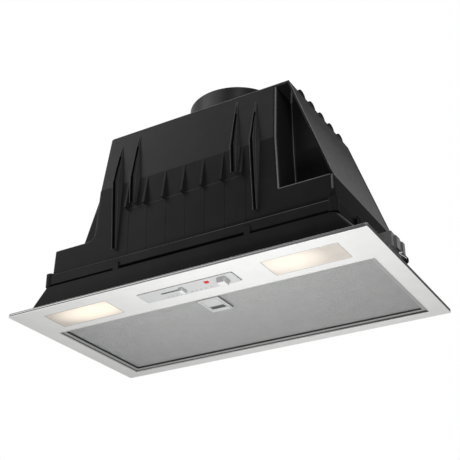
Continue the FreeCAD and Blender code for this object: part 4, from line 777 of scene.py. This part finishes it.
add_filter_lattice()
add_face_trim()
add_pull_painted_shade()
add_clip_wires()
add_edge_highlights()


# Camera at the photograph's viewing angle

SENSOR_WIDTH, FOCAL_LENGTH = 36.0, 75.92
CAMERA_PLACE = (0.60684, -1.04993, -0.5136)
CAMERA_RIGHT, CAMERA_FORWARD = (0.8660, 0.5000, -0.0030), (-0.4416, 0.7667, 0.4660)
FARTHEST_SEEN = 100.0


def place_camera():
    data = bpy.data.cameras.new("camera")
    data.sensor_width = SENSOR_WIDTH
    data.lens = FOCAL_LENGTH
    data.clip_end = FARTHEST_SEEN
    camera = bpy.data.objects.new("camera", data)
    right = Vector(CAMERA_RIGHT).normalized()
    forward = Vector(CAMERA_FORWARD).normalized()
    up = right.cross(forward)
    turn = Matrix((right, up, -forward)).transposed().to_4x4()
    camera.matrix_world = Matrix.Translation(CAMERA_PLACE) @ turn
    bpy.context.scene.collection.objects.link(camera)
    bpy.context.scene.camera = camera


place_camera()


# Floor, background and studio lights

FLOOR_HALF, FLOOR_LEVEL = 30.0, -1.7
SOFT_STRENGTH, WHITE_STRENGTH = 0.38, 1.0
FULL_SPREAD = 180.0
# place, aim and size in metres, power in watts and spread in degrees
LIGHTS = {
    "front_box": ((-0.94, -1.34, 1.9), (0.0, -0.1, 0.15), (1.75, 1.0), 26.0, FULL_SPREAD),
    "left_box": ((-1.65, -1.44, 1.13), (0.0, -0.1, 0.15), (0.93, 0.85), 13.0, FULL_SPREAD),
    "edge_box": ((1.3, -1.95, 1.37), (0.1, -0.1, 0.15), (0.3, 1.3), 20.0, FULL_SPREAD),
    "under_box": ((0.22, -0.9, -0.95), (0.10, -0.18, 0.0), (0.3, 0.3), 1.25, 42.0),
    "back_box": ((-1.3, 1.9, 1.5), (0.0, 0.0, 0.15), (1.2, 1.0), 18.0, FULL_SPREAD),
}


def add_floor():
    mesh = bpy.data.meshes.new("floor")
    corners = [(x * FLOOR_HALF, y * FLOOR_HALF, FLOOR_LEVEL) for x, y in ((-1, -1), (1, -1), (1, 1), (-1, 1))]
    mesh.from_pydata(corners, [], [(0, 1, 2, 3)])
    paint = finish("floor_paint", grey(0.80), 0.02, (0.6, 0.7), (300.0, 0.0005, 0.1), cloud=3.0)
    mesh.materials.append(paint)
    floor = bpy.data.objects.new("floor", mesh)
    bpy.context.scene.collection.objects.link(floor)


def set_world():
    """Soft even light; the camera, gloss and glass see a white background."""
    world = bpy.data.worlds.new("studio")
    bpy.context.scene.world = world
    world.use_nodes = True
    tree = world.node_tree
    soft = tree.nodes["Background"]
    white = tree.nodes.new("ShaderNodeBackground")
    for background, strength in ((soft, SOFT_STRENGTH), (white, WHITE_STRENGTH)):
        background.inputs["Color"].default_value = (*WHITE, 1.0)
        background.inputs["Strength"].default_value = strength
    path = tree.nodes.new("ShaderNodeLightPath")
    seen = path.outputs["Is Camera Ray"]
    for name in ("Is Glossy Ray", "Is Transmission Ray"):
        seen = calculate(tree, "MAXIMUM", seen, path.outputs[name])
    mix = tree.nodes.new("ShaderNodeMixShader")
    for source, target in zip((seen, soft.outputs[0], white.outputs[0]), mix.inputs):
        link(tree, source, target)
    link(tree, mix.outputs[0], tree.nodes["World Output"].inputs["Surface"])


def add_light(name, place, aim, size, power, spread):
    data = bpy.data.lights.new(name, "AREA")
    data.shape = "RECTANGLE"
    data.size, data.size_y = size
    data.energy = power
    data.spread = math.radians(spread)
    lamp = bpy.data.objects.new(name, data)
    direction = Vector(aim) - Vector(place)
    lamp.location = place
    lamp.rotation_euler = direction.to_track_quat("-Z", "Y").to_euler()
    bpy.context.scene.collection.objects.link(lamp)


add_floor()
set_world()
for light_name, light_row in LIGHTS.items():
    add_light(light_name, *light_row)
bpy.context.scene.view_settings.view_transform = "Standard"
